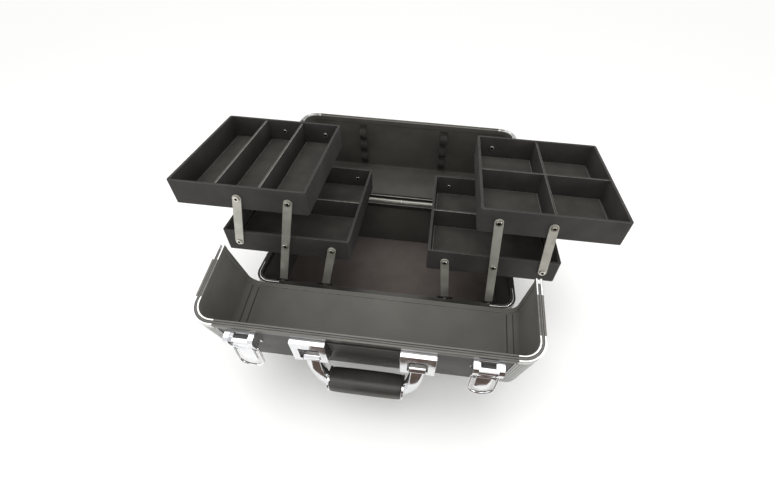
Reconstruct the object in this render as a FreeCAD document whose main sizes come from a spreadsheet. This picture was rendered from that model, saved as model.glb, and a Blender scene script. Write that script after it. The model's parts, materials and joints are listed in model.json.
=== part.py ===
import FreeCAD, Part
import math
import os
import re
import Sketcher

# Makeup train case standing open: a base box, two lid halves and four trays on riveted arms.
# Millimetres, +Z up, the front with the handle toward -Y, origin at the middle of the underside.

V = FreeCAD.Vector
X_WAY = V(1, 0, 0)
Y_WAY = V(0, 1, 0)
Z_WAY = V(0, 0, 1)

SIZES = [
    ("case_width", 364, "outside width of the case, left to right"),
    ("case_depth", 202, "outside depth of the case, front to rear"),
    ("base_height", 92, "underside to the top of the base rim"),
    ("lid_height", 92.5, "base rim to the top of the closed lids"),
    ("corner_round", 22, "plan radius of the four upright corners"),
    ("lid_round", 24, "radius of the lid corners seen from the front"),
    ("top_edge_round", 9, "radius where the lid front runs into the lid top"),
    ("wall", 3.6, "thickness of the covered board panels"),
    ("lining", 1.2, "thickness of the lining"),
    ("floor_pad", 2, "thickness of the pad on the base floor"),
    ("frame_proud", 0.8, "how far the metal frames stand out of the panels"),
    ("rim_leg", 1.2, "inner leg of the base rim frame inside the lining"),
    ("rim_height", 8, "height of the base rim frame"),
    ("rim_cap", 2, "metal above the wall inside the rim frame"),
    ("trim_height", 12, "height of the bottom trim"),
    ("cap_height", 30, "height of the corner caps"),
    ("cap_thick", 0.9, "sheet thickness of the corner caps"),
    ("cap_play", 0.3, "gap between the corner caps of a lid and its lip frame"),
    ("lip_depth", 8, "depth of the lid lip frames"),
    ("lip_width", 7, "width of the lid lip frames across the wall"),
    ("lip_gap", 0.4, "half the gap between the closed lips"),
    ("groove_from", 1.6, "lip outside to the groove"),
    ("groove_width", 2.6, "width of the groove in the front lip"),
    ("groove_deep", 2.5, "depth of the groove in the front lip"),
    ("tongue_slack", 0.35, "clearance at each side of the rear lip tongue"),
    ("tongue_short", 0.6, "clearance at the end of the rear lip tongue"),
    ("seat_gap", 0.4, "gap between a closed lid and the base rim"),
    ("seat_height", 6, "height of the frame along the foot of each lid"),
    ("seat_width", 6.5, "width of the frame along the foot of each lid"),
    ("front_open", 104, "degrees the front lid is open"),
    ("rear_open", 87, "degrees the rear lid is open"),
    ("hinge_spread", 75.3, "middle of the case to the middle of a hinge"),
    ("hinge_width", 150, "width of a hinge"),
    ("hinge_leaf", 26, "height of a hinge leaf from the pin"),
    ("leaf_thick", 1.2, "sheet thickness of a hinge leaf"),
    ("knuckle_radius", 3.2, "outside radius of the hinge knuckles"),
    ("pin_radius", 1.6, "radius of the hinge pins"),
    ("pin_slack", 0.08, "radial clearance around pins and rivets"),
    ("knuckle_gap", 0.3, "end clearance between knuckles"),
    ("knuckle_off", 0.2, "gap between the knuckles and the metal frames"),
    ("leaf_off", 1, "gap between the knuckles and the flat of a leaf"),
    ("tray_side_gap", 11.3, "folded tray to the lining at the end of the case"),
    ("tray_mid_gap", 0.9, "folded tray to the middle of the case"),
    ("tray_height", 33, "tray size from underside to rim"),
    ("tray_wall", 3, "thickness of the tray sides"),
    ("tray_floor", 2.5, "thickness of the tray floor"),
    ("tray_round", 3, "plan radius of the tray corners"),
    ("divider_thick", 2.6, "thickness of the tray dividers"),
    ("divider_drop", 1, "divider top below the tray rim"),
    ("notch_play", 0.4, "room round a rivet tail in a divider"),
    ("pivot_below_rim", 16.5, "tray rim to the arm rivets"),
    ("lower_inset", 23, "lower tray inner edge to its first rivet"),
    ("upper_inset", 22.75, "upper tray inner edge to its first rivet"),
    ("outer_inset", 19, "lower tray outer edge to its last rivet"),
    ("base_pivot_x", 85.5, "middle of the case to the first base rivet"),
    ("base_pivot_drop", 13, "base rim to the base rivets"),
    ("arm_length", 74.5, "rivet to rivet along an arm"),
    ("arm_width", 10.5, "width of the flat arms"),
    ("arm_thick", 1.5, "thickness of the flat arms"),
    ("arm_gap", 0.3, "play between an arm and what it turns on"),
    ("left_lean", 13.2, "degrees the left arms lean inward"),
    ("right_lean", 5.8, "degrees the right arms lean inward"),
    ("rivet_radius", 2, "shank radius of the arm rivets"),
    ("head_radius", 3.6, "head radius of the arm rivets"),
    ("head_thick", 1.2, "head thickness of the arm rivets"),
    ("bracket_width", 22, "width of an arm bracket"),
    ("bracket_height", 22, "height of an arm bracket"),
    ("bracket_thick", 1.5, "sheet thickness of an arm bracket"),
    ("bracket_reach", 11.1, "how far an arm bracket stands out of the lining"),
    ("bracket_play", 0.4, "gap between a bracket and the base rim frame"),
    ("handle_spread", 57, "middle of the case to the middle of a handle bracket"),
    ("mount_width", 37, "width of a handle bracket"),
    ("mount_length", 42, "length of a handle bracket along the lid top"),
    ("mount_edge", 9.2, "lip to the handle and latch plates"),
    ("mount_low", 7, "bracket height at the lip end"),
    ("mount_high", 13.5, "bracket height at the pin end"),
    ("mount_nose", 3, "how far the pin end of a bracket slopes down"),
    ("mount_flat", 4, "length of that slope along the lid top"),
    ("mount_slot", 18, "width of the slot for the handle arm"),
    ("slot_floor", 0.6, "metal left under the slot"),
    ("slot_play", 1.6, "room in the slot past the handle arm barrel"),
    ("window_width", 22, "width of the window in a handle bracket"),
    ("window_length", 21, "length of that window"),
    ("window_from", 10, "pin end of the bracket to the window, which opens into the slot"),
    ("window_floor", 1.2, "metal left under the window"),
    ("handle_pin_up", 8, "lid top to the handle pin"),
    ("handle_pin_back", 5.5, "far end of the bracket to the handle pin"),
    ("handle_pin_radius", 2, "radius of the handle pins"),
    ("handle_barrel", 5, "outside radius of the handle arm barrels"),
    ("handle_reach", 50, "handle pin to the middle of the grip"),
    ("grip_length", 88, "length of the grip between the arms"),
    ("grip_tall", 27, "grip size away from the pin"),
    ("grip_thick", 26, "grip thickness"),
    ("grip_round", 9, "corner radius of the grip seen from its end"),
    ("handle_arm_thick", 9, "thickness of the handle arms"),
    ("handle_play", 0.4, "gap at each end of a handle arm barrel"),
    ("band_thick", 1.6, "thickness of the black strip between the brackets"),
    ("band_length", 30, "length of the black strip along the lid top"),
    ("band_from", 4, "lip end of the brackets to the black strip"),
    ("band_play", 0.5, "gap at each end of the black strip"),
    ("latch_spread", 127, "middle of the case to the middle of a latch"),
    ("latch_width", 31, "width of a latch plate"),
    ("latch_length", 27, "length of a latch plate"),
    ("latch_thick", 2, "thickness of a latch plate"),
    ("ear_width", 5.6, "width of a latch ear"),
    ("ear_length", 19, "length of a latch ear"),
    ("ear_height", 13, "height of a latch ear above the lid top"),
    ("ear_round", 5.5, "radius of the upper corners of a latch ear"),
    ("bridge_from", 4.4, "lip end of the latch plate to the bridge between the ears"),
    ("bridge_length", 5.2, "length of that bridge"),
    ("bridge_height", 10.5, "height of that bridge above the lid top"),
    ("latch_pin_up", 8, "lid top to the latch pin"),
    ("latch_pin_back", 5, "far end of the ear to the latch pin"),
    ("latch_pin_radius", 1.5, "radius of the latch pins"),
    ("lever_barrel", 3.4, "outside radius of the lever barrel"),
    ("lever_gap", 0.9, "gap between the latch lever and each ear"),
    ("lever_room", 0.8, "gap between the lever barrel and the latch plate"),
    ("lever_short", 7.2, "tip of the lever to the inside of the bail bow"),
    ("lever_thick", 2.6, "thickness of the latch lever"),
    ("bail_at", 9, "latch pin to the pivot of the bail"),
    ("bail_inset", 0.3, "outside of the latch plate to the outside of the bail"),
    ("bail_eye", 1.2, "metal round the bail wire in the lever"),
    ("bail_length", 41, "bail pivot to the outside of its bow"),
    ("bail_wire", 2.8, "thickness of the bail wire"),
    ("bail_round", 11, "outside radius of the bail bow"),
    ("strike_width", 20, "width of a latch strike"),
    ("strike_length", 18, "length of a latch strike"),
    ("strike_height", 6, "height of the strike hook"),
    ("hook_from", 3, "lip end of the strike to its hook"),
    ("hook_thick", 4, "thickness of the hook's stem"),
    ("nose_length", 7, "length of the hook's nose"),
    ("nose_thick", 1.6, "thickness of the hook's nose"),
    ("strap_left", 80, "middle of the case to the left brush strap"),
    ("strap_right", 63, "middle of the case to the right brush strap"),
    ("strap_wide", 12, "width of the brush straps"),
    ("strap_thick", 1.4, "thickness of the brush straps"),
    ("strap_from", 16, "lip to the first loop of a brush strap"),
    ("strap_tab", 4, "length of the flat tab at each end of a strap"),
    ("strap_clear", 4.2, "end of a strap to the lining of the lid wall"),
    ("loop_high", 9, "height of one loop of a brush strap"),
    ("loop_straight", 1, "straight stretch at the foot of a loop"),
    ("hinge_rivet_radius", 2.2, "head radius of the small rivets"),
    ("hinge_rivet_thick", 0.8, "head height of the small rivets"),
]

doc = FreeCAD.newDocument("train_case")
sheet = doc.addObject("Spreadsheet::Sheet", "sizes")
for row, (alias, value, note) in enumerate(SIZES, 1):
    sheet.set("A%d" % row, note)
    sheet.set("B%d" % row, str(value))
    sheet.setAlias("B%d" % row, alias)
doc.recompute()

LOOPS = 3
# Sizes that follow from the driving ones
DERIVED = {
    "rim_width": "wall + lining + rim_leg",
    "tray_width": "case_width / 2 - wall - lining - tray_side_gap - tray_mid_gap",
    "tray_depth": "case_depth - 2 * (wall + lining + bracket_reach + arm_thick + 2 * arm_gap)",
    "rivet_pitch": "(tray_width - lower_inset - outer_inset) / 2",
    "lever_width": "latch_width - 2 * ear_width - 2 * lever_gap",
    "lever_length": "bail_at + bail_length - bail_wire - lever_short",
    "bail_half": "latch_width / 2 - bail_inset",
    "loop_pitch": "(case_depth / 2 - wall - lining - strap_from - strap_tab - strap_clear) / %d" % LOOPS,
    "loop_round": "loop_high - loop_straight",
    "axis_out": "case_depth / 2 + frame_proud + knuckle_radius + knuckle_off",
    "leaf_face": "case_depth / 2 + frame_proud",
    "arm_face": "tray_depth / 2 + arm_gap",
    "arm_back": "tray_depth / 2 + 2 * arm_gap + arm_thick",
    "wall_face": "case_depth / 2 - wall - lining",
    "pivot_z": "base_height - base_pivot_drop",
    "wall_top": "base_height - rim_cap",
    "lid_top": "base_height + lid_height",
    "far": "case_width * 2",
}
ALIASES = {alias for alias, value, note in SIZES}
NODES = []


def sized(text):
    """The size text with derived sizes written out and each driving size pointing into the sheet."""

    def swap(found):
        name = found.group()
        if name in DERIVED:
            return "(%s)" % sized(DERIVED[name])
        return "sizes." + name if name in ALIASES else name

    return re.sub("[a-z_]+", swap, str(text))


def amount(text):
    """The number that a size text stands for."""
    return float(sheet.evalExpression(sized(text)))


def bind(thing, prop, text):
    thing.setExpression(prop, sized(text))


def bind_place(thing, x, y, z):
    for axis, text in zip("xyz", (x, y, z)):
        bind(thing, "Placement.Base." + axis, text)


def turned(way, angle):
    return FreeCAD.Rotation(way, angle)


LIE_Y = turned(X_WAY, -90)
LIE_X = turned(Y_WAY, 90)


def block(name, x, y, z, long, deep, high):
    """A box from its low corner."""
    thing = doc.addObject("Part::Box", name)
    bind(thing, "Length", long)
    bind(thing, "Width", deep)
    bind(thing, "Height", high)
    bind_place(thing, x, y, z)
    return thing


def rod(name, radius, length, x, y, z, way="Z"):
    """A cylinder that starts at a point and runs along one axis."""
    thing = doc.addObject("Part::Cylinder", name)
    bind(thing, "Radius", radius)
    bind(thing, "Height", length)
    if way != "Z":
        thing.Placement = FreeCAD.Placement(V(), LIE_X if way == "X" else LIE_Y)
    bind_place(thing, x, y, z)
    return thing


def cut(name, base, *tools):
    for number, tool in enumerate(tools, 1):
        thing = doc.addObject("Part::Cut", name if number == len(tools) else name + "_cut%d" % number)
        thing.Base = base
        thing.Tool = tool
        base = thing
    return base


def fuse(name, *things):
    whole = doc.addObject("Part::MultiFuse", name)
    whole.Shapes = list(things)
    whole.Refine = True
    return whole


def common(name, *things):
    whole = doc.addObject("Part::MultiCommon", name)
    whole.Shapes = list(things)
    return whole


def group(name, things):
    whole = doc.addObject("Part::Compound", name)
    whole.Links = list(things)
    return whole


def again(source, name, x="0", y="0", z="0", turn=None):
    """The same piece once more at another place."""
    link = doc.addObject("App::Link", name)
    link.LinkedObject = source
    link.LinkTransform = True
    if turn is not None:
        link.Placement = FreeCAD.Placement(V(), turn)
    bind_place(link, x, y, z)
    return link


def mirrored(source, name, normal):
    thing = doc.addObject("Part::Mirroring", name)
    thing.Source = source
    thing.Normal = normal
    return thing


def node(label, thing, place=None):
    """Keeps a finished piece under the name of its file."""
    thing.Label = label
    if place is not None:
        thing.Placement = place
    NODES.append((label, thing))
    return thing


def tie_point(sketch, number, kind, text):
    """Ties the start of one sketch line to its distance from the sketch origin."""
    reach = amount(text)
    if abs(reach) < 1e-9:
        axis = -2 if kind == "DistanceX" else -1
        sketch.addConstraint(Sketcher.Constraint("PointOnObject", number, 1, axis))
        return
    ends = ((-1, 1), (number, 1)) if reach > 0 else ((number, 1), (-1, 1))
    row = sketch.addConstraint(Sketcher.Constraint(kind, *ends[0], *ends[1], abs(reach)))
    bind(sketch, "Constraints[%d]" % row, text if reach > 0 else "-(%s)" % text)


def rounded_outline(sketch, u_low, u_high, v_low, v_high, radius):
    """A rectangle with four equal round corners."""
    a, b = amount(u_low), amount(u_high)
    c, d = amount(v_low), amount(v_high)
    r = amount(radius)
    quarter = math.pi / 2
    sides = [
        ((a + r, c), (b - r, c)),
        ((b, c + r), (b, d - r)),
        ((b - r, d), (a + r, d)),
        ((a, d - r), (a, c + r)),
    ]
    for start, end in sides:
        sketch.addGeometry(Part.LineSegment(V(*start, 0), V(*end, 0)))
    corners = [((b - r, c + r), 3), ((b - r, d - r), 0), ((a + r, d - r), 1), ((a + r, c + r), 2)]
    for middle, turn in corners:
        ring = Part.Circle(V(*middle, 0), Z_WAY, r)
        sketch.addGeometry(Part.ArcOfCircle(ring, turn * quarter, (turn + 1) * quarter))
    for side in range(4):
        sketch.addConstraint(Sketcher.Constraint("Tangent", side, 2, 4 + side, 1))
        sketch.addConstraint(Sketcher.Constraint("Tangent", 4 + side, 2, (side + 1) % 4, 1))
    for corner in (5, 6, 7):
        sketch.addConstraint(Sketcher.Constraint("Equal", 4, corner))
    row = sketch.addConstraint(Sketcher.Constraint("Radius", 4, r))
    bind(sketch, "Constraints[%d]" % row, radius)
    sketch.addConstraint(Sketcher.Constraint("Horizontal", 0))
    sketch.addConstraint(Sketcher.Constraint("Vertical", 1))
    tie_point(sketch, 3, "DistanceX", u_low)
    tie_point(sketch, 1, "DistanceX", u_high)
    tie_point(sketch, 0, "DistanceY", v_low)
    tie_point(sketch, 2, "DistanceY", v_high)


def polygon_outline(sketch, points):
    """A closed outline through points given as size texts."""
    spots = [V(amount(u), amount(v), 0) for u, v in points]
    count = len(spots)
    for number in range(count):
        sketch.addGeometry(Part.LineSegment(spots[number], spots[(number + 1) % count]))
    for number in range(count):
        sketch.addConstraint(Sketcher.Constraint("Coincident", number, 2, (number + 1) % count, 1))
    for number, (u, v) in enumerate(points):
        tie_point(sketch, number, "DistanceX", u)
        tie_point(sketch, number, "DistanceY", v)


def new_body(name):
    return doc.addObject("PartDesign::Body", name)


def new_sketch(body, name, plane, offset):
    """A sketch on one of the body's own planes, moved along the plane's normal."""
    sketch = body.newObject("Sketcher::SketchObject", name)
    supports = [feature for feature in body.Origin.OriginFeatures if feature.Role == plane + "_Plane"]
    sketch.AttachmentSupport = [(supports[0], "")]
    sketch.MapMode = "FlatFace"
    bind(sketch, "AttachmentOffset.Base.z", offset)
    return sketch


def pad(body, name, sketch, length):
    feature = body.newObject("PartDesign::Pad", name)
    feature.Profile = sketch
    bind(feature, "Length", length)
    return feature


def pocket(body, name, sketch, length):
    """Takes material away on the same side of the sketch as a pad would add it."""
    feature = body.newObject("PartDesign::Pocket", name)
    feature.Profile = sketch
    feature.Reversed = True
    bind(feature, "Length", length)
    return feature


def rounded_prism(name, plane, offset, length, u_low, u_high, v_low, v_high, radius):
    body = new_body(name)
    outline = new_sketch(body, name + "_outline", plane, offset)
    rounded_outline(outline, u_low, u_high, v_low, v_high, radius)
    pad(body, name + "_pad", outline, length)
    return body


def rounded_ring(name, offset, length, outer, inner):
    """A flat ring between two insets of the case plan."""
    body = new_body(name)
    outline = new_sketch(body, name + "_outline", "XY", offset)
    plan_outline(outline, outer)
    pad(body, name + "_pad", outline, length)
    opening = new_sketch(body, name + "_opening", "XY", offset)
    plan_outline(opening, inner)
    pocket(body, name + "_pocket", opening, length)
    return body


def plan_outline(sketch, inset):
    half_x = "case_width / 2 - (%s)" % inset
    half_y = "case_depth / 2 - (%s)" % inset
    radius = "corner_round - (%s)" % inset
    rounded_outline(sketch, "-(%s)" % half_x, half_x, "-(%s)" % half_y, half_y, radius)


# Base box
panel = new_body("base_bottom_panel")
plan = new_sketch(panel, "bottom_plan", "XY", "0")
plan_outline(plan, "0")
pad(panel, "bottom_pad", plan, "wall")
node("base_bottom_panel", panel)

node("base_walls", rounded_ring("base_walls", "wall", "wall_top - wall", "0", "wall"))
node("base_lining", rounded_ring("base_lining", "wall", "wall_top - wall", "wall", "wall + lining"))

floor_body = new_body("base_floor_pad")
floor_plan = new_sketch(floor_body, "floor_plan", "XY", "wall")
plan_outline(floor_plan, "wall + lining")
pad(floor_body, "floor_pad_pad", floor_plan, "floor_pad")
node("base_floor_pad", floor_body)

rim_ring = rounded_ring("rim_ring", "base_height - rim_height", "rim_height", "-frame_proud", "rim_width")
slot_high = "2 * rim_height - rim_cap"
rim_slot = rounded_ring("rim_slot", "base_height - 2 * rim_height", slot_high, "0", "wall + lining")
node("base_rim_frame", cut("base_rim_frame", rim_ring, rim_slot))
node("base_bottom_trim", rounded_ring("base_bottom_trim", "0", "trim_height", "-frame_proud", "0"))

# Corner caps of the base: a quarter tube round each upright corner
cap_outer = rod("cap_outer", "corner_round + frame_proud + cap_thick", "cap_height", "0", "0", "0")
cap_outer.Angle = 90
cap_inner = rod("cap_inner", "corner_round + frame_proud", "cap_height", "0", "0", "0")
cap_shell = cut("cap_shell", cap_outer, cap_inner)
base_caps = []
for number, (sx, sy, angle) in enumerate(((1, 1, 0), (-1, 1, 90), (-1, -1, 180), (1, -1, 270))):
    base_caps.append(
        again(
            cap_shell,
            "base_cap%d" % number,
            "%d * (case_width / 2 - corner_round)" % sx,
            "%d * (case_depth / 2 - corner_round)" % sy,
            "0",
            turned(Z_WAY, angle),
        )
    )
node("base_corner_caps", group("base_corner_caps", base_caps))

# Arm brackets on the inside of the front and rear walls, and the rivets the arms turn on
bracket_block = block(
    "bracket_block",
    "-bracket_width / 2",
    "-wall_face",
    "base_pivot_drop - rim_height - bracket_play - bracket_height",
    "bracket_width",
    "bracket_reach",
    "bracket_height",
)
bracket_void = block(
    "bracket_void",
    "-bracket_width / 2 + bracket_thick",
    "-wall_face - bracket_reach",
    "-bracket_height",
    "bracket_width - 2 * bracket_thick",
    "2 * bracket_reach - bracket_thick",
    "2 * bracket_height",
)
bracket_hole = rod("bracket_hole", "rivet_radius", "case_depth / 2", "0", "-case_depth / 2", "0", "Y")
bracket = cut("bracket", bracket_block, bracket_void, bracket_hole)
base_grip = "bracket_thick + arm_thick + 2 * arm_gap"
base_rivet = fuse(
    "base_rivet",
    rod("base_shank", "rivet_radius", base_grip, "0", "-arm_back - bracket_thick", "0", "Y"),
    rod("base_head", "head_radius", "head_thick", "0", "-tray_depth / 2", "0", "Y"),
    rod("base_tail", "head_radius", "head_thick", "0", "-arm_back - bracket_thick - head_thick", "0", "Y"),
)
brackets = []
base_rivets = []
for wall_name, turn in (("front", 0), ("rear", 180)):
    for number, sign in enumerate((-1, 1)):
        for level, reach in (("inner", "base_pivot_x"), ("outer", "(base_pivot_x + rivet_pitch)")):
            tag = "%s%d%s" % (wall_name, number, level)
            spot = ("%d * %s" % (sign, reach), "0", "pivot_z", turned(Z_WAY, turn))
            brackets.append(again(bracket, "bracket_" + tag, *spot))
            base_rivets.append(again(base_rivet, "base_rivet_" + tag, *spot))
node("arm_brackets", group("arm_brackets", brackets))
node("base_arm_rivets", group("base_arm_rivets", base_rivets))

# Hinges: two to each lid, built at the front of the closed case and turned round for the rear
KNUCKLES = 5
SEGMENT = "(hinge_width / %d)" % KNUCKLES


def hinge_leaf(name, rising, kept):
    """One leaf with its share of the knuckles; it rises to the lid or hangs on the base."""
    foot = "knuckle_radius + leaf_off"
    plate_z = foot if rising else "-hinge_leaf"
    pieces = [
        block(
            name + "_plate",
            "-hinge_width / 2",
            "-leaf_face - leaf_thick",
            plate_z,
            "hinge_width",
            "leaf_thick",
            "hinge_leaf - (%s)" % foot,
        )
    ]
    for number in kept:
        start = "-hinge_width / 2 + %d * %s + knuckle_gap / 2" % (number, SEGMENT)
        wide = SEGMENT + " - knuckle_gap"
        tag = "%s_%d" % (name, number)
        pieces.append(rod(tag + "_knuckle", "knuckle_radius", wide, start, "-axis_out", "0", "X"))
        web_z = "0" if rising else "-(%s)" % foot
        web_y = "-leaf_face - leaf_thick"
        pieces.append(block(tag + "_web", start, web_y, web_z, wide, "leaf_thick", foot))
    whole = fuse(name + "_whole", *pieces)
    bore_radius = "pin_radius + pin_slack" if rising else "pin_radius"
    bore = rod(name + "_bore", bore_radius, "2 * hinge_width", "-hinge_width", "-axis_out", "0", "X")
    return cut(name, whole, bore)


base_leaf = hinge_leaf("base_leaf", False, (0, 2, 4))
lid_leaf = hinge_leaf("lid_leaf", True, (1, 3))
hinge_pin = rod("hinge_pin", "pin_radius", "hinge_width", "-hinge_width / 2", "-axis_out", "0", "X")
rivet_y = "-leaf_face - leaf_thick - hinge_rivet_thick"
small_rivet = rod("small_rivet", "hinge_rivet_radius", "hinge_rivet_thick", "0", rivet_y, "0", "Y")
base_leaves = []
hinge_pins = []
base_small = []
lid_leaves = []
lid_small = []
half_turn = turned(Z_WAY, 180)
for number, sign in enumerate((-1, 1)):
    spread = "%d * hinge_spread" % sign
    for face, turn in (("front", None), ("rear", half_turn)):
        tag = "%s%d" % (face, number)
        base_leaves.append(again(base_leaf, "base_leaf_" + tag, spread, "0", "base_height", turn))
        hinge_pins.append(again(hinge_pin, "hinge_pin_" + tag, spread, "0", "base_height", turn))
        for spot in (-1, 0, 1):
            across = "%s + %d * hinge_width / 3" % (spread, spot)
            down = "base_height - hinge_leaf / 2 - knuckle_radius"
            name = "base_small_%s%d" % (tag, spot + 1)
            base_small.append(again(small_rivet, name, across, "0", down, turn))
    lid_leaves.append(again(lid_leaf, "lid_leaf%d" % number, spread, "0", "base_height"))
    for spot in (-1, 0, 1):
        across = "%s + %d * hinge_width / 3" % (spread, spot)
        up = "base_height + hinge_leaf / 2 + knuckle_radius"
        lid_small.append(again(small_rivet, "lid_small%d%d" % (number, spot + 1), across, "0", up))
node("base_hinge_leaves", group("base_hinge_leaves", base_leaves))
node("hinge_pins", group("hinge_pins", hinge_pins))
node("base_hinge_rivets", group("base_hinge_rivets", base_small))

# Lids: built closed at the front, then swung open on the hinge pins
front_axis = V(0, -amount("axis_out"), amount("base_height"))
front_swing = FreeCAD.Placement(V(), turned(X_WAY, amount("front_open")), front_axis)
rear_swing = FreeCAD.Placement(V(), turned(X_WAY, amount("rear_open")), front_axis)
rear_swing = FreeCAD.Placement(V(), half_turn).multiply(rear_swing)
SWINGS = (("front", front_swing), ("rear", rear_swing))
SEAT_Z = "(base_height + seat_gap)"
SHELL_Z = "(base_height + seat_gap + seat_height)"
SHELL_Y = "(lip_gap + lip_depth)"
LEAST_EDGE = "lining / 2"


def front_profile(name, inset, offset, length):
    """The lid outline seen from the front, as a bar running away from the middle plane."""
    half = "case_width / 2 - (%s)" % inset
    top = "lid_top - (%s)" % inset
    low = "base_height - 3 * lid_round"
    radius = "lid_round - (%s)" % inset
    return rounded_prism(name, "XZ", offset, length, "-(%s)" % half, half, low, top, radius)


def lid_form(name, inset):
    """The full form of the closed lids at some inset from the outside."""
    plan_body = new_body(name + "_plan")
    plan_sketch = new_sketch(plan_body, name + "_plan_outline", "XY", "base_height - lid_round")
    plan_outline(plan_sketch, inset)
    pad(plan_body, name + "_plan_pad", plan_sketch, "lid_height + 2 * lid_round")
    front_body = front_profile(name + "_front", inset, "-case_depth", "2 * case_depth")
    half_y = "case_depth / 2 - (%s)" % inset
    edge = "top_edge_round - (%s)" % inset
    if amount(edge) < amount(LEAST_EDGE):
        edge = LEAST_EDGE
    side_body = rounded_prism(
        name + "_side",
        "YZ",
        "-case_width",
        "2 * case_width",
        "-(%s)" % half_y,
        half_y,
        "base_height - 3 * lid_round",
        "lid_top - (%s)" % inset,
        edge,
    )
    return common(name, plan_body, front_body, side_body)


form_out = lid_form("form_out", "0")
form_mid = lid_form("form_mid", "wall")
form_in = lid_form("form_in", "wall + lining")
form_cap = lid_form("form_cap", "-cap_thick")
form_seat_out = rounded_ring("form_seat", SEAT_Z, "seat_height", "-frame_proud", "seat_width - frame_proud")

lid_half = block("lid_half", "-far", "-far", SHELL_Z, "2 * far", "far - " + SHELL_Y, "far")
seat_half = block("seat_half", "-far", "-far", "0", "2 * far", "far - " + SHELL_Y, "far")
above_seat = block("above_seat", "-far", "-far", SEAT_Z, "2 * far", "2 * far", "far")
cap_boxes = []
for number, sign in enumerate((-1, 1)):
    cap_x = "-case_width / 2 - cap_height" if sign < 0 else "case_width / 2 - cap_height"
    cap_boxes.append(
        block(
            "cap_box%d" % number,
            cap_x,
            "-case_depth / 2 - cap_height",
            "lid_top - cap_height",
            "2 * cap_height",
            "case_depth / 2 + cap_height - cap_play - " + SHELL_Y,
            "2 * cap_height",
        )
    )


def lip_band(name, outer, inner, offset, length):
    """A band that follows the lid outline over the top and down both sides."""
    rim_body = new_body(name + "_band")
    for tag, inset in (("outer", outer), ("inner", inner)):
        outline = new_sketch(rim_body, "%s_%s" % (name, tag), "XZ", offset)
        half = "case_width / 2 - (%s)" % inset
        top = "lid_top - (%s)" % inset
        low = "base_height - 3 * lid_round + (%s)" % inset
        rounded_outline(outline, "-(%s)" % half, half, low, top, "lid_round - (%s)" % inset)
        if tag == "outer":
            pad(rim_body, "%s_%s_pad" % (name, tag), outline, length)
        else:
            pocket(rim_body, "%s_%s_pocket" % (name, tag), outline, length)
    return common(name + "_cut", rim_body, above_seat)


lip_ring = lip_band("lip_ring", "-frame_proud", "lip_width - frame_proud", "lip_gap", "lip_depth")
groove = lip_band("lip_groove", "groove_from", "groove_from + groove_width", "0", "lip_gap + groove_deep")
tongue = lip_band(
    "lip_tongue",
    "groove_from + tongue_slack",
    "groove_from + groove_width - tongue_slack",
    "-groove_deep + lip_gap + tongue_short",
    "groove_deep",
)

for side, swing in SWINGS:
    shell = cut(side + "_shell_hollow", form_out, form_mid)
    node(side + "_lid_shell", common(side + "_lid_shell", shell, lid_half), swing)
    skin = cut(side + "_skin_hollow", form_mid, form_in)
    node(side + "_lid_lining", common(side + "_lid_lining", skin, lid_half), swing)
    node(side + "_lid_seat_frame", common(side + "_lid_seat_frame", form_seat_out, seat_half), swing)
    caps = []
    cap_skin = cut(side + "_cap_skin", form_cap, form_out)
    for number, box in enumerate(cap_boxes):
        caps.append(common("%s_lid_cap%d" % (side, number), cap_skin, box))
    node(side + "_lid_corner_caps", group(side + "_lid_corner_caps", caps), swing)
    leaves = [again(leaf, "%s_%s" % (side, leaf.Name)) for leaf in lid_leaves]
    node(side + "_lid_hinge_leaves", group(side + "_lid_hinge_leaves", leaves), swing)
    dots = [again(dot, "%s_%s" % (side, dot.Name)) for dot in lid_small]
    node(side + "_lid_hinge_rivets", group(side + "_lid_hinge_rivets", dots), swing)
node("front_lid_lip_frame", cut("front_lid_lip_frame", lip_ring, groove), front_swing)
node("rear_lid_lip_frame", fuse("rear_lid_lip_frame", lip_ring, tongue), rear_swing)

# Handle brackets on the lid top: low at the lip, high at the pin
wedge = new_body("mount_wedge")
wedge_side = new_sketch(wedge, "mount_side", "YZ", "0")
polygon_outline(
    wedge_side,
    [
        ("0", "0"),
        ("mount_length", "0"),
        ("mount_length", "mount_low"),
        ("mount_flat", "mount_high"),
        ("0", "mount_high - mount_nose"),
    ],
)
pad(wedge, "mount_pad", wedge_side, "mount_width")
arm_slot = block(
    "arm_slot",
    "(mount_width - mount_slot) / 2",
    "-mount_length",
    "slot_floor",
    "mount_slot",
    "mount_length + handle_pin_back + handle_barrel + slot_play",
    "2 * mount_high",
)
mount_window = block(
    "mount_window",
    "(mount_width - window_width) / 2",
    "window_from",
    "window_floor",
    "window_width",
    "window_length",
    "2 * mount_high",
)
pin_at = ("0", "handle_pin_back", "handle_pin_up")
handle_pin = rod("handle_pin", "handle_pin_radius", "mount_width", *pin_at, "X")
mount = cut("mount", wedge, arm_slot, mount_window, handle_pin)
MOUNT_Y = "-mount_edge - mount_length"
mounts = []
pins = []
for number, sign in enumerate((-1, 1)):
    spot = ("%d * handle_spread - mount_width / 2" % sign, MOUNT_Y, "lid_top")
    mounts.append(again(mount, "mount%d" % number, *spot))
    pins.append(again(handle_pin, "handle_pin%d" % number, *spot))
node("handle_brackets", group("handle_brackets", mounts), front_swing)
node("handle_pins", group("handle_pins", pins), front_swing)
band_half = "(handle_spread - mount_width / 2 - band_play)"
band = block(
    "band_block",
    "-" + band_half,
    "-mount_edge - band_from - band_length",
    "lid_top",
    "2 * " + band_half,
    "band_length",
    "band_thick",
)
node("handle_base_strip", group("handle_base_strip", [band]), front_swing)

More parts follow.
